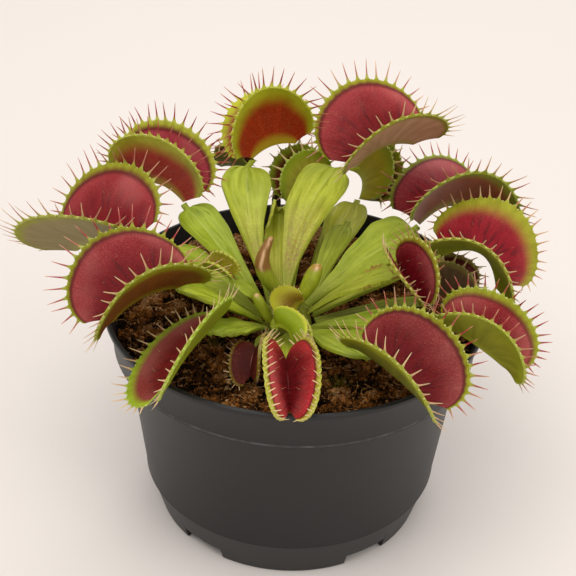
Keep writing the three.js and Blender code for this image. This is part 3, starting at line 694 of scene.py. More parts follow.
def makeSoil():
    cells, level = soil["cells"], soil["level"]
    bed = addShape(
        bpy.ops.mesh.primitive_grid_add, x_subdivisions=cells, y_subdivisions=cells, size=2 * soil["radius"]
    )
    points = pointsOf(bed)
    away = np.hypot(points[:, 0], points[:, 1])
    square = np.maximum(np.abs(points[:, 0]), np.abs(points[:, 1]))
    # The square grid is pressed into a disc, ring by ring.
    share = np.where(away > 1e-9, square / np.maximum(away, 1e-9), 1.0)
    points[:, :2] *= share[:, None]
    away = np.hypot(points[:, 0], points[:, 1])
    fromCrown = np.hypot(points[:, 0] - soil["crown"][0], points[:, 1] - soil["crown"][1])
    calm = 0.25 + 0.75 * smooth(9 * mm, 16 * mm, fromCrown)
    points[:, 2] = soilHeight(points[:, 0], points[:, 1], clumpField()) + roughen(points, calm)
    well = fromCrown < soil["crownHole"]
    points[well, 2] = np.minimum(points[well, 2], level - 1.2 * mm)
    setPoints(bed, points)
    bpy.ops.object.mode_set(mode="EDIT")
    bpy.ops.mesh.select_all(action="SELECT")
    bpy.ops.mesh.region_to_loop()
    collarRadius, collarHeight = pot["collar"]
    inside = pot["wall"] + 0.6 * mm
    below = [
        (collarRadius - inside, collarHeight + 1.8 * mm),
        (pot["neck"] - inside, collarHeight - 0.8 * mm),
        (pot["ring"][0] - inside, pot["ring"][1]),
        (pot["foot"] - inside, pot["floorTop"] + 0.4 * mm),
    ]
    for _ in below:
        extrude(0, 0, -1 * mm)
    bpy.ops.mesh.edge_face_add()
    bpy.ops.object.mode_set(mode="OBJECT")
    points = pointsOf(bed)
    start = (cells + 1) ** 2
    perRing = (len(points) - start) // len(below)
    for index, (radius, height) in enumerate(below):
        part = slice(start + index * perRing, start + (index + 1) * perRing)
        spots = points[part]
        spots[:, :2] *= (radius / np.hypot(spots[:, 0], spots[:, 1]))[:, None]
        spots[:, 2] = height
    setPoints(bed, points)
    peat = makePeat()
    bed.data.materials.append(peat)
    # lift is the bed's height over its hollows, which the peat turns into painted shade.
    addFacts(bed, moss=0.0, lift=np.clip((points[:, 2] - level + 1.3 * mm) / (3.4 * mm), 0, 1))
    bed = scatter(bed, points[:start], peat)
    finishPiece(bed, "peatFilling", "soil", 30)


makeSoil()
print("soil made")


# Leaves. Every length is in millimetres and every angle in degrees, as grown on the plant:
# where the blade leaves the crown, where the trap's hinge starts and how its lobes stand.

crown = {
    "centre": (-2, -3.5),
    "low": (8.4, 69.5),
    "mid": (6.4, 73),
    "top": (4.4, 76),
    "rings": [(6.5, 60.6), (7.7, 62.2), (7.7, 69.5), (5.7, 73), (3.6, 76), (1.6, 77.9), (0.3, 78.4)],
    "sides": 28,
    "tint": (146, 152, 52),
}

# A leaf's plan has one row for each of its parts, with the values in this order. A row may end with
# a dictionary of what only that leaf has.
planKeys = {
    "blade": ("turn", "tier", "width", "lift", "cup", "tint", "blush"),
    "trap": ("foot", "heading", "pitch", "roll", "left", "right"),
    "lobe": ("length", "height", "arch", "droop", "bulge"),
    # In the looks, deep and rose are the inside's colours near the hinge and towards the margin. They carry its
    # painted shade and painted light.
    "looks": ("deep", "rose", "outside", "rim", "inner", "outer", "pale"),
}


def planLeaf(name, *rows, **more):
    plan = {"name": name, **more}
    for (part, keys), row in zip(planKeys.items(), rows):
        plan[part] = dict(zip(keys, row))
        plan[part].update(*row[len(keys):])
    return plan


leafPlans = [
    planLeaf(
        "leaf_01",
        (143, "mid", 16, 0.06, 0.25, (184, 194, 55), 0.7,
         {"taper": 2.4, "end": (-17.5, 37, 101.5), "bow": (-5.5, 0, 0)}),
        ((-16, 39, 104), 19, 14, 11, 67, 31),
        (27.5, 26, 2, 4, 0.8),
        ((121, 16, 15), (131, 35, 35), (172, 50, 20), (184, 186, 44), 0.22, 0.36, (0.15, 0.15)),
    ),
    planLeaf(
        "leaf_02",
        (100, "mid", 18.5, 0.1, 0.2, (182, 190, 47), 1.0, {"end": (11.5, 40, 100.5), "bow": (-6.5, 0, 0)}),
        ((18.5, 38.5, 103), 23, 13, -6, 67, 40),
        (37, 26.5, 3.5, 4, 0),
        ((111, 6, 12), (163, 59, 62), (212, 170, 138), (151, 151, 31), 0.075, 0.13, (0.35, 0.8)),
    ),
    planLeaf(
        "leaf_03",
        (150, "low", 13.5, 0.1, 0.3, (165, 182, 35), 0.1, {"twist": 10}),
        ((-37.5, 27.5, 93), 160, 7, -6, 23, 18),
        (33.5, 20.5, 3.5, 2, 0.3),
        ((131, 19, 34), (159, 50, 63), (178, 52, 36), (176, 178, 56), 0.11, 0.36, (0.2, 0.15)),
    ),
    planLeaf(
        "leaf_04",
        (173, "low", 18, 0.06, 0.15, (167, 180, 32), 0.1, {"end": (-41, 7.5, 84), "twist": 10, "widest": 0.75}),
        ((-52, 7, 89), 157, -22, 41, 6, 90),
        (40, 27.5, 3.5, 1.5, -0.2),
        ((119, 12, 20), (160, 53, 58), (156, 142, 88), (151, 151, 38), 0.1, 0.15, (0.45, 0.3)),
    ),
    planLeaf(
        "leaf_05",
        (197, "low", 14, 0.08, 0.2, (169, 182, 32), 0.0, {"widest": 0.75}),
        ((-35, -23, 92.5), 211, -15, -10, 53, 58),
        (37.5, 24.5, 2.5, 6, -0.4),
        ((104, 6, 12), (140, 40, 45), (126, 72, 20), (138, 141, 23), 0.07, 0.24, (0.65, 0.2)),
    ),
    planLeaf(
        "leaf_06",
        (218, "low", 11, 0.08, 0.15, (157, 174, 29), 0.2,
         {"end": (-24.5, -27.5, 80), "widest": 0.6, "dry": 0.6}),
        ((-25, -35, 85.5), 243, -14, -23, 49, 88),
        (39, 16, 1, 1.5, 0),
        ((104, 15, 12), (128, 40, 28), (150, 160, 34), (151, 173, 36), 0.2, 0.3, (0.85, 0.7)),
    ),
    planLeaf(
        "leaf_07",
        (245, "low", 6, 0.1, 0.2, (123, 129, 25), 0.3, {"widest": 0.6}),
        ((-11, -27.5, 74), 265, -4, -21, 45, 64),
        (20, 7, 1, 2, -0.2, {"teeth": 12}),
        ((70, 10, 3), (87, 18, 4), (84, 42, 20), (131, 100, 29), 0.12, 0.2, (0.6, 0.6)),
    ),
    planLeaf(
        "leaf_08",
        (272, "low", 10, 0.06, 0.2, (160, 168, 24), 0.0, {"widest": 0.65}),
        ((-2, -43, 81), -85, -12, 5, 42, 42),
        (28.5, 12, 0.5, 1.5, 0.4, {"tooth": 3.8, "lean": 78}),
        ((98, 8, 12), (180, 30, 40), (122, 66, 40), (176, 171, 52), 0.08, 0.2, (0.95, 0.95)),
    ),
    planLeaf(
        "leaf_09",
        (303, "low", 15, 0.12, 0.2, (147, 162, 15), 0.0, {"widest": 0.66}),
        ((22, -42, 84), -38, -19, 2, 43, 41),
        (35, 20, 0.5, 4, -0.8),
        ((104, 12, 17), (131, 44, 44), (110, 112, 28), (148, 151, 31), 0.07, 0.22, (0.3, 0.7)),
    ),
    planLeaf(
        "leaf_10",
        (351, "mid", 9, 0.15, 0.35, (174, 180, 40), 0.2, {"widest": 0.74, "twist": -15, "dry": 1.0}),
        ((31, -11, 93), -60, -19, -15, 24, 22),
        (22, 15, 2, -1, 0, {"teeth": 18}),
        ((111, 11, 22), (136, 35, 44), (128, 112, 40), (159, 153, 43), 0.1, 0.2, (0.5, 0.7)),
    ),
    planLeaf(
        "leaf_11",
        (29, "mid", 18, 0.08, 0.2, (163, 178, 35), 0.15, {"widest": 0.76, "twist": -18}),
        ((39.5, 27.5, 88), 4, -14, 9, 78, 52),
        (34.5, 28, 9, 6.5, 0.8, {"teeth": 25}),
        ((119, 12, 24), (146, 42, 53), (156, 78, 38), (138, 149, 31), 0.09, 0.22, (0.1, 0.45)),
    ),
    planLeaf(
        "leaf_12",
        (20, "low", 9, 0.03, 0.3, (176, 182, 40), 0.1, {"widest": 0.6}),
        ((44.5, -2, 94.5), -23, -21, 12, 58, 70),
        (34.5, 20, 7, 8.5, -0.8, {"teeth": 25, "tooth": 4.6}),
        ((130, 12, 27), (152, 38, 47), (150, 158, 34), (159, 159, 45), 0.3, 0.3, (0.55, 0.85)),
    ),
    planLeaf(
        "leaf_13",
        (331, "low", 12, 0.1, 0.2, (145, 164, 18), 0.0, {"widest": 0.5, "twist": -10}),
        ((46, -32, 87.5), -23, -26, 0, 41, 30),
        (31, 16, 0.5, 5, -0.4),
        ((119, 17, 24), (152, 47, 50), (150, 152, 28), (155, 161, 40), 0.14, 0.28, (0.2, 0.35)),
    ),
    planLeaf(
        "leaf_14",
        (358, "low", 6, 0.02, 0.3, (160, 170, 40), 0.2, {"widest": 0.7}),
        ((44, 8.5, 71.5), -14, 12, -9, 8, 11),
        (20.5, 15, 2.5, 2, -1.1, {"teeth": 12}),
        ((99, 19, 26), (122, 42, 41), (134, 108, 82), (161, 145, 83), 0.1, 0.16, (0.95, 0.95)),
    ),
    planLeaf(
        "leaf_15",
        (92, "low", 6, 0.05, 0.3, (150, 166, 40), 0.0, {"widest": 0.7}),
        ((-0.5, 46.5, 84), 34, 25, 20, 11, 24),
        (20.5, 15, 2.5, 2, -0.8, {"teeth": 12}),
        ((109, 37, 26), (119, 56, 33), (204, 204, 70), (159, 180, 45), 0.2, 0.34, (0.9, 0.9)),
    ),
    planLeaf(
        "leaf_16",
        (67, "low", 13, 0, 0.3, (198, 200, 54), 0.0, {"widest": 0.8}),
        ((21, 54.5, 81.5), 115, 28, -40, 14, 10),
        (23.5, 15.5, 4, 1, -1.1, {"teeth": 12}),
        ((99, 37, 26), (109, 56, 33), (176, 168, 8), (148, 161, 31), 0.2, 0.3, (0.8, 0.8)),
    ),
    planLeaf(
        "leaf_17",
        (131, "low", 5, 0.03, 0.3, (98, 123, 25), 0.0, {"widest": 0.7}),
        ((-19.5, 52, 92), 165, 5, 20, 14, 14),
        (14, 9, 1.5, 1.3, -0.7, {"teeth": 9}),
        ((90, 31, 26), (102, 49, 33), (104, 116, 22), (110, 126, 32), 0.2, 0.26, (0.7, 0.7)),
    ),
    planLeaf(
        "leaf_18",
        (186, "mid", 6.5, 0.1, 0.3, (165, 180, 42), 0.2, {"widest": 0.6}),
        ((-20.5, -3.5, 84.5), 150, 5, 15, 28, 28),
        (11, 6, 1.2, 0.8, -0.8, {"teeth": 12, "tooth": 1.5}),
        ((138, 132, 20), (166, 158, 35), (166, 174, 44), (176, 178, 52), 0.2, 0.2, (0.1, 0.1), {"rays": 0.4}),
    ),
    planLeaf(
        "leaf_19",
        (280, "top", 3.2, -0.05, 0.2, (157, 172, 37), 0.2, {"end": (1.2, -11, 74.6), "widest": 0.5}),
        ((0, -13, 77.2), 50, 45, 65, 12, 12),
        (9.5, 8.5, 1, 2.6, -2.2, {"teeth": 14, "tooth": 1.1, "comb": True}),
        ((112, 76, 24), (145, 106, 39), (140, 108, 22), (176, 172, 44), 0.2, 0.62, (0.6, 0.6), {"rays": 0.2}),
    ),
    planLeaf(
        "leaf_20",
        (240, "mid", 3.2, 0.05, 0.2, (150, 160, 28), 0.0, {"widest": 0.5}),
        ((-5.2, -24.6, 81.3), -50, -12, 50, 14, 14),
        (14, 6, 1.5, 2, -1.8, {"teeth": 14, "tooth": 0.9, "comb": True}),
        ((130, 136, 26), (156, 154, 33), (150, 174, 24), (196, 198, 64), 0.2, 0.16, (0.9, 0.9), {"rays": 0.1}),
    ),
]

barePlans = [
    planLeaf(
        "leaf_21",
        (48, "low", 8.5, 0.12, 0.3, (160, 170, 44), 0.0, {"widest": 0.75}),
        node="leaf_21_blade", tip=(16.5, 34, 84)
    ),
    planLeaf(
        "young_leaf",
        (111, "low", 13, 0.05, 0.7, (206, 206, 78), 0.2,
         {"widest": 0.82, "dry": 0.35, "crinkle": 3, "roll": 140}),
        node="young_leaf", tip=(-6.8, 38, 86)
    ),
]

blade = {
    "across": 20,
    "along": 64,
    "thickness": 0.85,
    "bladeShare": 0.92,
    "footWidth": 2.2,
    "neckWidth": 2.0,
    "neckLength": 2.2,
    "neckDrop": 0.95,
    "waves": 0.6,
    "folds": 0.34,
    "midrib": 0.3,
    "keel": 0.9,
}


def unit(vector):
    return vector / np.linalg.norm(vector, axis=-1, keepdims=True)


def bladeWidth(share, width, widest, taper):
    rising = np.clip(share / widest, 0, 1) ** taper
    falling = np.clip((share - widest) / (1 - widest), 0, 1)
    out = blade["footWidth"] + (width - blade["footWidth"]) * rising * (3 - rising) / 2
    back = blade["neckWidth"] + (width - blade["neckWidth"]) * np.sqrt(1 - falling ** 2.6)
    return np.where(share < widest, out, back)


def bladeSurface(plan, tip, across, along, seed):
    # Points of a blade's middle surface. across runs from -1 to 1 and along from 0 to 1.
    shape = plan["blade"]
    radius, height = crown[shape["tier"]]
    turn = math.radians(shape["turn"])
    start = np.array([radius * math.cos(turn), radius * math.sin(turn), height]) + [*crown["centre"], 0]
    tip = np.array(tip, float)
    end = np.array(shape.get("end", tip - unit(tip - start) * blade["neckLength"]), float)
    middle = (start + end) / 2 + [0, 0, shape["lift"] * np.linalg.norm(end - start)]
    middle = middle + np.array(shape.get("bow", (0, 0, 0)))
    wide = blade["bladeShare"]
    t = 1 - (1 - np.clip(along / wide, 0, 1)) ** 1.25
    t = t[:, None]
    centre = (1 - t) ** 2 * start + 2 * t * (1 - t) * middle + t * t * end
    forward = unit((1 - t) * (middle - start) + t * (end - middle))
    level = unit(np.cross(forward, [0, 0, 1]))
    above = np.cross(level, forward)
    twist = np.radians(shape.get("twist", 0) * t)
    side = level * np.cos(twist) + above * np.sin(twist)
    up = above * np.cos(twist) - level * np.sin(twist)
    half = bladeWidth(t[:, 0], shape["width"], shape.get("widest", 0.82), shape.get("taper", 1.6)) / 2
    neck = np.clip((along - wide) / (1 - wide), 0, 1)[:, None]
    centre = centre + (tip - end) * neck
    fade = 1 - neck[:, 0]
    big = smooth(3.0, 9.0, half * 2) * fade
    edge = np.sign(across)
    same = np.full(len(across), seed)
    ripple = noiseAt(zip(edge * 1.3 + seed * 7, along * 7.0, same))
    fold = noiseAt(zip(across * 3.2 + seed * 3, along * 3.4, same))
    ragged = noiseAt(zip(edge * 2.1 + seed, along * 26.0, same))
    ragged = ragged * shape.get("dry", 0) * smooth(0.35, 0.6, along)
    # A rolled leaf bends its edges round towards each other near its end.
    bend = math.radians(shape.get("roll", 0)) * smooth(0.45, 0.9, t[:, 0]) * np.abs(across) + 1e-6
    spread = half * across * np.sin(bend) / bend * (1 + 0.06 * ripple * big + 0.22 * ragged)
    rise = shape["cup"] * half * across ** 2 * fade + half * np.abs(across) * (1 - np.cos(bend)) / bend
    waves = blade["waves"] * shape.get("crinkle", 1) * (ripple * 1.6 + ragged * 2.5)
    rise = rise + waves * np.abs(across) ** 3 * big
    rise = rise + blade["folds"] * fold * big * (1 - across ** 4) * 2
    rise = rise - blade["midrib"] * np.exp(-((across * half / 0.8) ** 2)) * big
    return centre + side * spread[:, None] + up * rise[:, None]


def makeBladeSkin():
    bench = Bench("bladeSkin")
    parts, along = bench.span()
    across = abs(parts * 2 - 1)
    where = bench.place()
    tint = bench.shade("tint")
    seed = bench.fact("seed")
    veins = bench.grain(bench.stretch(parts * 8, along * 1.8, seed * 3.0), 1.0, 3.0, 0.5)
    threads = bench.grain(bench.stretch(parts * 12 + along * 3, along * 4.6, seed * 5.0), 1.0, 4.0, 0.62)
    patches = bench.grain(where, 110.0, 3.0)
    fine = bench.grain(where, 2200.0, 2.0)
    dark = bench.dim(tint, 206, 212, 150)
    light = bench.mix(0.14, tint, colour(226, 232, 120))
    base = bench.mix(veins.ramp(0.3, 0.7) * 0.6 + patches.ramp(0.35, 0.7) * 0.4, dark, light)
    net = bench.dim(tint, 176, 190, 108)
    base = bench.mix(threads.ramp(0.54, 0.68) * 0.7, base, net)
    base = bench.mix((1 - across.ramp(0.0, 0.1)) * along.ramp(0.15, 0.6) * 0.3, base, colour(206, 212, 110))
    base = bench.mix((1 - along.ramp(0.02, 0.34)) * 0.4, base, colour(170, 176, 74))
    near = 1 - (along + (patches - 0.5) * 0.3).ramp(0.2, 0.72)
    blush = bench.fact("blush") * near * along.ramp(0.02, 0.2)
    speckle = bench.grain(where, 1300.0, 4.0, 0.75).ramp(0.3, 0.66) * (1 - across.ramp(0.5, 1.0) * 0.6)
    base = bench.mix(blush * speckle * 0.8, base, colour(150, 100, 74))
    brown = bench.grain(where, 240.0, 3.0).ramp(0.42, 0.62)
    dry = bench.fact("dry") * across.ramp(0.62, 0.95) * along.ramp(0.4, 0.7) * brown
    base = bench.mix(dry, base, colour(150, 104, 48))
    base = bench.mix(across.ramp(0.9, 1.0) * 0.3, base, colour(150, 158, 40))
    normal = bench.bump(veins, 0.3, 0.0004)
    normal = bench.bump(threads + fine * 0.15, 0.6, 0.0008, normal)
    rough = 0.4 + veins * 0.1 + dry * 0.3
    return bench.finish(
        base=base, rough=rough, normal=normal, shine=0.34, soft=0.12, depth=0.0015, bleed=(0.6, 1.0, 0.2)
    )


def growBlade(plan, tip, material, seed):
    columns, rows = blade["across"], blade["along"]
    sheet = addShape(bpy.ops.mesh.primitive_grid_add, x_subdivisions=columns, y_subdivisions=rows, size=2)
    sheet.data.uv_layers[0].name = "span"
    points = pointsOf(sheet)
    across, along = points[:, 0].copy(), (points[:, 1] + 1) / 2
    surface = bladeSurface(plan, tip, across, along, seed)
    setPoints(sheet, surface * mm)
    wall = sheet.modifiers.new("bladeThickness", "SOLIDIFY")
    wall.thickness = blade["thickness"] * mm
    wall.offset = 0
    applyModifiers(sheet)
    # The lower skin bulges into a keel below the midrib, fullest where the blade is narrow.
    points = pointsOf(sheet)
    count = len(surface)
    first = 0 if points[:count, 2].mean() < points[count:2 * count, 2].mean() else count
    keel = blade["keel"] * mm * np.exp(-((across / 0.35) ** 2))
    points[first:first + count, 2] -= keel * (1 - smooth(0.5, 0.9, along)) * smooth(0.0, 0.1, along)
    setPoints(sheet, points)
    sheet.data.materials.append(material)
    shape = plan["blade"]
    dry = shape.get("dry", 0.0)
    addFacts(sheet, tint=colour(*shape["tint"]), blush=shape["blush"], dry=dry, seed=float(seed))
    return sheet


# Traps: two lobes on a midrib, with a row of teeth on each margin and trigger hairs inside.

trap = {
    "rows": 17,
    "columnsPerTooth": 4,
    "thickness": 0.85,
    "hingeShare": 0.56,
    "sweep": 112,
    "centreShare": 0.36,
    "teeth": 22,
    "toothShare": 0.3,
    "longestTooth": 7.2,
    "toothLean": 16,
    "leanSpread": 9,
    "clearance": 1.1,
    "spacing": 0.7,
    "boxMargin": 0.4,
    "potRim": (56, 61, 76.6),
    "soilTop": 70.5,
    "shares": (1, 0.8, 0.6, 0.42, 0.28),
    "bends": (0, 18, -18, 36, -36),
    "toothRoot": (1.3, 0.5),
    "scallop": 0.6,
    "bead": 0.46,
    "hairs": [(-0.34, 0.46), (0.0, 0.62), (0.34, 0.46)],
    "hair": (1.7, 0.13),
}


class TrapShape:
    # Where a trap's lobes lie, from its plan.
    def __init__(self, plan):
        self.plan = plan
        self.lobe = plan["lobe"]
        heading, pitch, roll = (math.radians(plan["trap"][key]) for key in ("heading", "pitch", "roll"))
        ahead = np.array([math.cos(heading), math.sin(heading), 0])
        level = np.array([-math.sin(heading), math.cos(heading), 0])
        self.along = math.cos(pitch) * ahead + [0, 0, math.sin(pitch)]
        above = np.cross(self.along, level)
        self.out = above * math.cos(roll) + level * math.sin(roll)
        self.left = level * math.cos(roll) - above * math.sin(roll)

    def surface(self, u, across):
        # u runs from -1 to 1 along the hinge, across from -1 at the right margin to 1 at the left.
        leftShare = smooth(-0.07, 0.07, across)[:, None]
        v = np.abs(across)
        return self.side(u, v, 1) * leftShare + self.side(u, v, -1) * (1 - leftShare)

    def side(self, u, v, side):
        lobe = self.lobe
        u, v = np.asarray(u, float), np.asarray(v, float)
        opening = math.radians(self.plan["trap"]["left" if side > 0 else "right"])
        length, height = lobe["length"], lobe["height"]
        hinge = trap["hingeShare"] * length
        centre = trap["centreShare"] * height
        sweep = math.radians(trap["sweep"]) * u
        hingeX = hinge / 2 * u
        hingeZ = -lobe["arch"] * u * u
        x = hingeX + (length / 2 * np.sin(sweep) - hingeX) * v
        rise = (centre + (height - centre) * np.cos(sweep) - hingeZ) * v
        curl = lobe["droop"] * ((2 * x / length) ** 2 - 0.3) * (1.4 * v - 0.4 * v * v)
        curl = curl - lobe["bulge"] * 4 * v * (1 - v) * (1 - u ** 4)
        y = side * (rise * math.sin(opening) + curl * math.cos(opening))
        z = hingeZ + rise * math.cos(opening) - curl * math.sin(opening)
        foot = np.array(self.plan["trap"]["foot"], float)
        spots = foot + np.multiply.outer(x + hinge / 2, self.along) + np.multiply.outer(y, self.left)
        return spots + np.multiply.outer(z + lobe["arch"], self.out)

    def directions(self, u, v, side):
        step = 0.01
        along = self.side(u + step, v, side) - self.side(u - step, v, side)
        outwards = self.side(u, v + step, side) - self.side(u, v - step, side)
        inner = unit(np.cross(along, outwards)) * side
        along = unit(along)
        outwards = unit(outwards - along * (outwards @ along))
        return along, outwards, inner


def nearness(points, start, end):
    # How far each point lies from the line between start and end.
    line = end - start
    gap = points - start
    share = np.clip(gap @ line / (line @ line), 0, 1)
    return np.linalg.norm(gap - share[:, None] * line, axis=1)


class Crowd:
    # Everything that a tooth must stay clear of, in millimetres.
    def __init__(self):
        self.points = []
        self.owners = []
        self.teeth = np.empty((0, 3))

    def add(self, owner, points):
        self.points.append(points)
        self.owners += [owner] * len(points)

    def close(self):
        self.points = np.concatenate(self.points)
        self.owners = np.array(self.owners)

    def isClear(self, owner, start, end):
        low, high = (np.array(corner) / mm for corner in cadBox)
        if np.any(end < low + trap["boxMargin"]) or np.any(end > high - trap["boxMargin"]):
            return False
        inside, outside, top = trap["potRim"]
        away = np.hypot(end[0], end[1])
        overSoil, overRim = away <= inside, inside < away < outside
        if (overSoil and end[2] < trap["soilTop"]) or (overRim and end[2] < top):
            return False
        near = nearness(self.points, start, end)
        if np.any((near < trap["clearance"]) & (self.owners != owner)):
            return False
        return not np.any(nearness(self.teeth, start, end) < trap["spacing"])

    def addTooth(self, start, end):
        self.teeth = np.concatenate([self.teeth, start + (end - start) * np.linspace(0, 1, 9)[:, None]])


crowd = Crowd()


def placeTooth(shape, side, u, draw):
    # Foot, direction, sideways direction, inner direction and length of one tooth.
    foot = shape.side(u, 1.0, side)
    along, outwards, inner = shape.directions(u, 1.0, side)
    lobe = shape.lobe
    if lobe.get("comb"):
        return foot, unit(outwards + inner * 0.25), along, inner, lobe["tooth"] * (1 - 0.4 * abs(u) ** 3)
    longest = min(lobe.get("tooth", trap["toothShare"] * lobe["height"]), trap["longestTooth"])
    full = longest * (1 - 0.45 * abs(u) ** 3) * (0.88 + 0.24 * draw())
    lean = lobe.get("lean", trap["toothLean"]) + trap["leanSpread"] * (2 * draw() - 1)
    sway = 0.16 * (2 * draw() - 1)
    owner = shape.plan["name"] + (" left" if side > 0 else " right")

    def leaning(bend):
        angle = math.radians(lean + bend)
        return unit(outwards * math.cos(angle) + inner * math.sin(angle) + along * sway)

    for share in trap["shares"]:
        for bend in trap["bends"]:
            direction = leaning(bend)
            start = foot + direction * min(0.3 * full * share, 1.2)
            end = foot + direction * full * share
            if crowd.isClear(owner, start, end):
                crowd.addTooth(start, end)
                return foot, direction, along, inner, full * share
    return foot, leaning(0), along, inner, 0.2 * full


def markSpan(piece, heights):
    # The map that the margin's material reads: x is paleness, y climbs past 1 on a tooth and a bead.
    if not piece.data.uv_layers:
        piece.data.uv_layers.new(name="span")
    piece.data.uv_layers[0].name = "span"
    for loop, corner in zip(piece.data.loops, piece.data.uv_layers[0].data):
        corner.uv = (0.5, 1 + heights[loop.vertex_index] / 2)


def makeToothPattern(material):
    # One tooth of unit length on a wide foot.
    tooth = addShape(bpy.ops.mesh.primitive_circle_add, vertices=6, radius=1, fill_type="NGON")
    rings = ((0.66, 0.06), (0.42, 0.14), (0.24, 0.28), (0.16, 0.58), (0.09, 0.9), (0.02, 1.0))
    growRod(tooth, 1, (0, 0, 0), [(radius, (0, 0, height)) for radius, height in rings])
    tooth.data.materials.append(material)
    markSpan(tooth, pointsOf(tooth)[:, 2])
    return tooth


def makeBeadPattern(material):
    # One round bead of the kind that stands between two teeth.
    bead = addShape(bpy.ops.mesh.primitive_ico_sphere_add, subdivisions=1, radius=1)
    points = pointsOf(bead)
    setPoints(bead, points * [1.1, 0.85, 0.9])
    bead.data.materials.append(material)
    markSpan(bead, np.full(len(points), 1.5))
    return bead


def copyGrown(pattern, stand, foot, sizes, pale, curve=0.0):
    # A copy of a tooth, bead or hair, grown from its foot along a direction.
    sideways, forward, direction = stand
    width, depth, length = sizes
    piece = copyOf(pattern)
    points = pointsOf(piece)
    height = points[:, 2]
    grown = foot + np.outer(points[:, 0] * width, sideways) + np.outer(points[:, 1] * depth, forward)
    grown = grown + np.outer(height * length, direction) + np.outer(curve * length * height ** 2, forward)
    setPoints(piece, grown * mm)
    layer = piece.data.uv_layers[0].data
    marks = np.empty(len(layer) * 2)
    layer.foreach_get("uv", marks)
    marks[0::2] = pale
    layer.foreach_set("uv", marks)
    return piece


def standFrame(direction, along, inner):
    # Sideways, forward and growing directions that turn the same way round as the pattern's own.
    sideways = unit(along - direction * (along @ direction))
    forward = np.cross(direction, sideways)
    if forward @ inner < 0:
        sideways, forward = -sideways, -forward
    return sideways, forward, direction


def makeTrapInside():
    bench = Bench("trapInside")
    parts, side = bench.span()
    height = abs(side * 2 - 1)
    where = bench.place()
    rim = bench.shade("rim")
    inner = bench.fact("inner")
    seed = bench.fact("seed")
    clouds = bench.grain(where, 120.0, 3.0, 0.55)
    wrinkles = bench.grain(bench.stretch(parts * 26, height * 2.4, seed * 5.0), 1.0, 2.0)
    glands = bench.cells(where, 2300.0)
    dots = 1 - glands.ramp(0.1, 0.48)
    # ripe here is painted light: the inside is painted dark near the hinge, where it lies in shade, and lighter
    # towards the margin, where it catches the light. The pale streaks and gland dots below are strongest where
    # it is painted lit.
    ripe = (height + (clouds - 0.5) * 0.6).ramp(0.3, 1.1)
    base = bench.mix(ripe, bench.shade("deep"), bench.shade("rose"))
    # Painted shade in the creases of the wrinkles near the hinge.
    creaseShade = wrinkles.ramp(0.46, 0.7) * (1 - height.ramp(0.4, 0.85))
    base = bench.mix(creaseShade * 0.7, base, colour(60, 4, 8))
    base = bench.mix(wrinkles.ramp(0.52, 0.78) * ripe * 0.2, base, colour(206, 120, 106))
    base = bench.mix(dots * (ripe * 0.3 + 0.05), base, colour(216, 128, 112))
    edge = height + (clouds - 0.5) * 0.05 + inner - 1
    # A painted sheen: pale pink patches towards the margin.
    paintedSheen = bench.grain(where, 45.0, 2.0).ramp(0.42, 0.7) * height.ramp(0.3, 0.8)
    sheenColour = bench.mix(0.36, bench.shade("rose"), colour(240, 170, 158))
    base = bench.mix(paintedSheen * 0.36, base, sheenColour)
    narrow = 1 - inner.ramp(0.1, 0.24)
    base = bench.mix((edge + 0.085).ramp(0.0, 0.07) * narrow * 0.75, base, colour(66, 18, 8))
    deeper = bench.dim(rim, 206, 200, 140)
    green = bench.mix(wrinkles.ramp(0.3, 0.7) * 0.6, rim, deeper)
    base = bench.mix((edge + inner * 0.3).ramp(0.0, inner * 1.1), base, green)
    base = bench.mix((1 - height.ramp(0.0, 0.1)) * 0.8, base, colour(226, 146, 130))
    normal = bench.bump(glands, 0.4, 0.00016)
    normal = bench.bump(wrinkles, 0.5, 0.0008, normal)
    rough = 0.5 + clouds * 0.16
    return bench.finish(
        base=base, rough=rough, normal=normal, shine=0.14, soft=0.06, depth=0.0008, bleed=(1.0, 0.25, 0.15)
    )


def makeTrapOutside():
    bench = Bench("trapOutside")
    parts, side = bench.span()
    height = abs(side * 2 - 1)
    where = bench.place()
    skin = bench.shade("outside")
    rim = bench.shade("rim")
    outer = bench.fact("outer")
    clouds = bench.grain(where, 100.0, 3.0)
    rays = bench.grain(bench.stretch(parts * 20, height * 1.2, bench.fact("seed")), 1.0, 2.0, 0.5)
    rays = rays * bench.fact("rays")
    freckles = bench.cells(where, 1900.0)
    dark = bench.dim(skin, 206, 196, 176)
    base = bench.mix(rays.ramp(0.3, 0.75) * 0.5 + clouds * 0.5, dark, skin)
    base = bench.mix((1 - freckles.ramp(0.08, 0.4)) * 0.16, base, colour(206, 190, 130))
    hinge = 1 - (height + (clouds - 0.5) * 0.12).ramp(0.03, 0.24)
    base = bench.mix(hinge * 0.85, base, bench.mix(0.3, rim, skin))
    edge = height + (clouds - 0.5) * 0.14 + outer - 1
    green = bench.mix(clouds.ramp(0.3, 0.75), bench.dim(rim, 218, 216, 160), rim)
    base = bench.mix((edge + outer * 0.15).ramp(0.0, outer * 1.05), base, green)
    normal = bench.bump(rays, 0.2, 0.0003)
    normal = bench.bump(freckles, 0.2, 0.0001, normal)
    rough = 0.46 + clouds * 0.12
    return bench.finish(
        base=base, rough=rough, normal=normal, shine=0.16, soft=0.1, depth=0.0012, bleed=(0.8, 0.7, 0.2)
    )


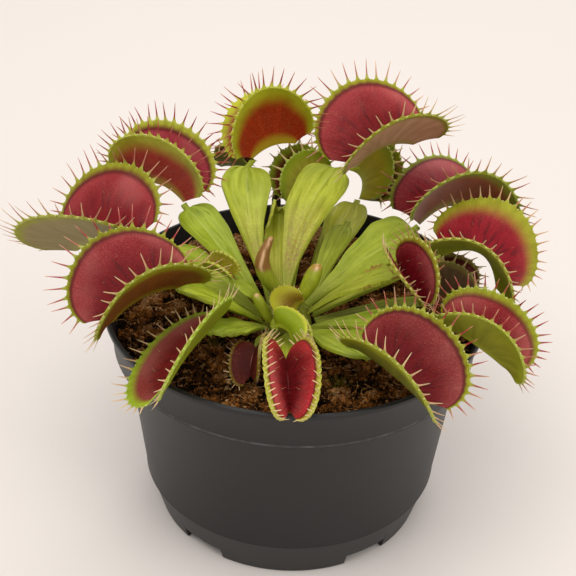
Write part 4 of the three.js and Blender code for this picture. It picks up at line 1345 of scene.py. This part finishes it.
def makeTrapMargin():
    bench = Bench("trapMargin")
    pale, side = bench.span()
    climb = abs(side * 2 - 1) - 1
    rim = bench.shade("rim")
    clouds = bench.grain(bench.place(), 300.0, 3.0)
    root = bench.mix(clouds.ramp(0.35, 0.7) * 0.5, rim, colour(178, 184, 84))
    bristle = bench.mix(pale.ramp(0.1, 0.9), colour(150, 44, 42), colour(222, 190, 140))
    tip = bench.mix(pale.ramp(0.1, 0.9), colour(208, 140, 112), colour(230, 216, 164))
    base = bench.mix(climb.ramp(0.12, 0.36), root, bristle)
    base = bench.mix(climb.ramp(0.5, 1.0) * 0.8, base, tip)
    base = bench.mix(climb.ramp(1.2, 1.4), base, bench.mix(0.4, rim, colour(218, 216, 136)))
    return bench.finish(base=base, rough=0.4, shine=0.42, soft=0.12, depth=0.0008, bleed=(1.0, 0.6, 0.3))


def growTrap(plan, materials, patterns, seed):
    shape = TrapShape(plan)
    lobe, looks = plan["lobe"], plan["looks"]
    teeth = lobe.get("teeth", trap["teeth"])
    around = math.pi * (lobe["length"] / 2 + lobe["height"]) * 0.55
    toothSpan = min(2.5 / around, 0.6 / teeth)
    firstTooth = {1: 2 / teeth - toothSpan / 2 - 1, -1: toothSpan / 2 - 1}
    columns, rows = trap["columnsPerTooth"] * teeth, 2 * trap["rows"]
    lobes = addShape(bpy.ops.mesh.primitive_grid_add, x_subdivisions=columns, y_subdivisions=rows, size=2)
    lobes.data.uv_layers[0].name = "span"
    points = pointsOf(lobes)
    u, across = points[:, 0], points[:, 1]
    first = np.where(across > 0, firstTooth[1], firstTooth[-1])
    # The margin dips between the teeth, less towards the ends of the hinge.
    wave = (0.6 - 1.6 * np.abs(np.sin(math.pi * teeth * (u - first) / 2))) * smooth(0.88, 1.0, np.abs(across))
    wave = wave * (1 - np.abs(u) ** 6) * min(trap["scallop"] / lobe["height"], 0.03)
    setPoints(lobes, shape.surface(u, across * (1 + wave)) * mm)
    for material in materials:
        lobes.data.materials.append(material)
    wall = lobes.modifiers.new("lobeThickness", "SOLIDIFY")
    wall.thickness = trap["thickness"] * mm
    wall.offset = 0
    wall.material_offset = 1
    wall.material_offset_rim = 2
    applyModifiers(lobes)
    draw = makeRandom(700 + 13 * seed)
    toothPattern, beadPattern = patterns
    parts = [lobes]
    small = 0.62 if lobe["height"] < 10 else 1.0
    width, depth = (size * small for size in trap["toothRoot"])
    for side, pale in zip((1, -1), looks["pale"]):
        for index in range(teeth):
            u = firstTooth[side] + 2 * index / teeth
            foot, direction, along, inner, length = placeTooth(shape, side, u, draw)
            stand = standFrame(direction, along, inner)
            sizes = (width, depth, length + 0.3)
            shade = min(max(pale + between(draw, -0.18, 0.18), 0.0), 1.0)
            curve = between(draw, 0.02, 0.16)
            parts.append(copyGrown(toothPattern, stand, foot - direction * 0.3, sizes, shade, curve))
            u = u + 1 / teeth
            if abs(u) < 1:
                along, outwards, inner = shape.directions(u, 0.99, side)
                size = trap["bead"] * small * between(draw, 0.8, 1.15)
                stand = standFrame(outwards, along, inner)
                parts.append(copyGrown(beadPattern, stand, shape.side(u, 0.99, side), (size,) * 3, 0.5))
        if lobe["height"] >= 10:
            for u, v in trap["hairs"]:
                along, outwards, inner = shape.directions(u, v, side)
                length, radius = trap["hair"]
                stand = standFrame(inner, along, outwards)
                foot = shape.side(u, v, side) + inner * 0.3
                parts.append(copyGrown(toothPattern, stand, foot, (radius, radius, length), 0.7, 0.1))
    lobes = joinPieces(parts)
    shades = {name: colour(*looks[name]) for name in ("deep", "rose", "outside", "rim")}
    shades.update(inner=looks["inner"], outer=looks["outer"], rays=looks.get("rays", 1.0))
    addFacts(lobes, seed=float(seed), **shades)
    return lobes


def growLeaves():
    bladeSkin = makeBladeSkin()
    margin = makeTrapMargin()
    trapSkins = [makeTrapInside(), makeTrapOutside(), margin]
    patterns = [makeToothPattern(margin), makeBeadPattern(margin)]

    def grid(columns, rows):
        return (part.ravel() for part in np.meshgrid(np.linspace(-1, 1, columns), np.linspace(0, 1, rows)))

    gridU, gridV = grid(25, 15)
    gridAcross, gridAlong = grid(9, 40)
    for plan in leafPlans:
        shape = TrapShape(plan)
        plan["tip"] = np.array(plan["trap"]["foot"], float) - shape.out * blade["neckDrop"]
        for side, word in ((1, " left"), (-1, " right")):
            crowd.add(plan["name"] + word, shape.side(gridU, gridV, side))
    for index, plan in enumerate(leafPlans + barePlans):
        crowd.add(plan["name"] + " blade", bladeSurface(plan, plan["tip"], gridAcross, gridAlong, index))
    crowd.close()
    for index, plan in enumerate(leafPlans):
        sheet = growBlade(plan, plan["tip"], bladeSkin, index)
        finishPiece(sheet, plan["name"] + "Blade", plan["name"] + "_blade")
        lobes = growTrap(plan, trapSkins, patterns, index)
        finishPiece(lobes, plan["name"] + "Trap", plan["name"] + "_trap")
    for index, plan in enumerate(barePlans):
        sheet = growBlade(plan, plan["tip"], bladeSkin, len(leafPlans) + index)
        finishPiece(sheet, plan["name"] + "Blade", plan["node"])
    for pattern in patterns:
        bpy.data.objects.remove(pattern)


growLeaves()
print("leaves and traps grown")


# Crown, buds and the dead leaf.

budPlans = [
    {
        "node": "bud_1",
        "line": [(-5.6, 0.6, 77), (-9, -0.8, 82.5), (-11.2, -1.4, 88.5), (-10, -1.1, 93.5),
                 (-7.9, -0.5, 98)],
        "radii": [2.4, 3.1, 2.5, 1.8, 1.1],
        "foot": (-4.4, -1.2, 74.6),
        "tint": (155, 164, 42),
        "head": (142, 98, 50),
        "ripe": (0.44, 0.62),
    },
    {
        "node": "bud_2",
        "line": [(2, -4.3, 77.8), (2.9, -3.8, 79.8), (4.4, -2.4, 83), (5.6, -1.2, 86), (6.5, -0.4, 88.4)],
        "radii": [1.5, 2.4, 2.9, 2.8, 1.5],
        "foot": (0.6, -4.2, 75.6),
        "tint": (155, 164, 32),
        "head": (164, 126, 52),
        "ripe": (0.8, 1.05),
    },
    {
        "node": "bud_3",
        "line": [(-7.2, -10, 72.3), (-8.7, -9.8, 74.5), (-10.2, -9.4, 77.3), (-11.4, -9.1, 80),
                 (-12, -8.9, 82.3)],
        "radii": [1.2, 1.8, 2.1, 2.0, 1.1],
        "foot": (-6.6, -9.4, 71.2),
        "tint": (147, 156, 34),
        "head": (158, 128, 56),
        "ripe": (0.82, 1.1),
    },
]

deadLeaf = {
    "line": [(-6.5, 48.5, 61), (-6.5, 48.5, 67), (-7.2, 50, 73.5), (-7.8, 51, 78.5),
             (-8.1, 51.6, 83), (-8.1, 51.8, 85.8)],
    "radii": [1.2, 1.3, 1.4, 1.7, 1.6, 0.7],
    "middle": (-7.4, 51, 0),
    "wrinkle": 0.45,
}


def growStem(line, radii, sides):
    # A stem through the points of its middle line, rounded.
    middles = [Vector(spot) * mm for spot in line]
    radius = radii[0] * mm
    stem = addShape(
        bpy.ops.mesh.primitive_circle_add,
        vertices=sides, radius=radius, fill_type="NGON", location=middles[0]
    )
    applyPlace(stem)
    growRod(stem, radius, middles[0], [(wide * mm, middle) for wide, middle in zip(radii[1:], middles[1:])])
    rounding = stem.modifiers.new("rounding", "SUBSURF")
    rounding.levels = 2
    rounding.render_levels = 2
    applyModifiers(stem)
    return stem


def makeBudSkin():
    bench = Bench("budSkin")
    where = bench.place()
    tint = bench.shade("tint")
    head = bench.shade("head")
    drawn = bench.node("ShaderNodeMapping", None, {"Vector": where, "Scale": (620, 620, 90)})
    streaks = bench.grain(drawn, 1.0, 2.0)
    freckles = bench.cells(where, 1900.0)
    darker = bench.dim(tint, 206, 204, 160)
    base = bench.mix(streaks.ramp(0.3, 0.7) * 0.55, tint, darker)
    ripe = (bench.fact("ripe") + (streaks - 0.5) * 0.35).ramp(0.15, 0.85)
    stripe = bench.fact("stripe") * streaks.ramp(0.3, 0.6)
    base = bench.mix(ripe, base, bench.mix(stripe, head, colour(222, 180, 138)))
    base = bench.mix((1 - freckles.ramp(0.08, 0.36)) * 0.16, base, colour(226, 214, 140))
    normal = bench.bump(streaks, 0.3, 0.0003)
    return bench.finish(
        base=base, rough=0.42, normal=normal, shine=0.3, soft=0.12, depth=0.001, bleed=(0.9, 0.7, 0.3)
    )


def makeDeadSkin():
    bench = Bench("deadSkin")
    where = bench.place()
    grit = bench.grain(where, 600.0, 4.0, 0.7)
    base = bench.mix(grit.ramp(0.4, 0.7), colour(28, 22, 20), colour(96, 76, 56))
    return bench.finish(base=base, rough=0.9, normal=bench.bump(grit, 0.8, 0.0006), shine=0.2)


def addRipeness(piece, line, low, high):
    # How ripe the skin is, from 0 at one share of the height to 1 at another, and the seam in front.
    points = pointsOf(piece)
    heights = points[:, 2]
    climb = (heights - heights.min()) / (heights.max() - heights.min())
    line = np.array(line) * mm
    aside = points[:, 0] - np.interp(heights, line[:, 2], line[:, 0])
    ahead = points[:, 1] - np.interp(heights, line[:, 2], line[:, 1])
    seam = (1 - smooth(0.25 * mm, 0.8 * mm, np.abs(aside))) * (ahead < 0)
    addFacts(piece, ripe=smooth(low, high, climb), stripe=seam)


def makeCrownAndBuds():
    skin = makeBudSkin()
    for plan in budPlans:
        # The skin reaches down from the bud's own foot to the crown.
        bud = growStem([plan["foot"]] + plan["line"], [plan["radii"][0]] + plan["radii"], 12)
        bud.data.materials.append(skin)
        addFacts(bud, tint=colour(*plan["tint"]), head=colour(*plan["head"]))
        addRipeness(bud, plan["line"], *plan["ripe"])
        finishPiece(bud, plan["node"] + "Skin", plan["node"])
    line = [(*crown["centre"], height) for _, height in crown["rings"]]
    core = growStem(line, [radius for radius, _ in crown["rings"]], crown["sides"])
    core.data.materials.append(skin)
    tint = colour(*crown["tint"])
    addFacts(core, tint=tint, head=tint, ripe=0.0, stripe=0.0)
    finishPiece(core, "crownCore", "crown")
    stub = growStem(deadLeaf["line"], deadLeaf["radii"], 10)
    points = pointsOf(stub)
    wrinkle = noiseAt(points / mm * 0.9) * deadLeaf["wrinkle"] * mm
    away = (points - np.array(deadLeaf["middle"]) * mm) * [1, 1, 0]
    setPoints(stub, points + unit(away + 1e-9) * wrinkle[:, None])
    stub.data.materials.append(makeDeadSkin())
    finishPiece(stub, "deadLeafStub", "dead_leaf")


makeCrownAndBuds()
print("crown, buds and dead leaf grown")
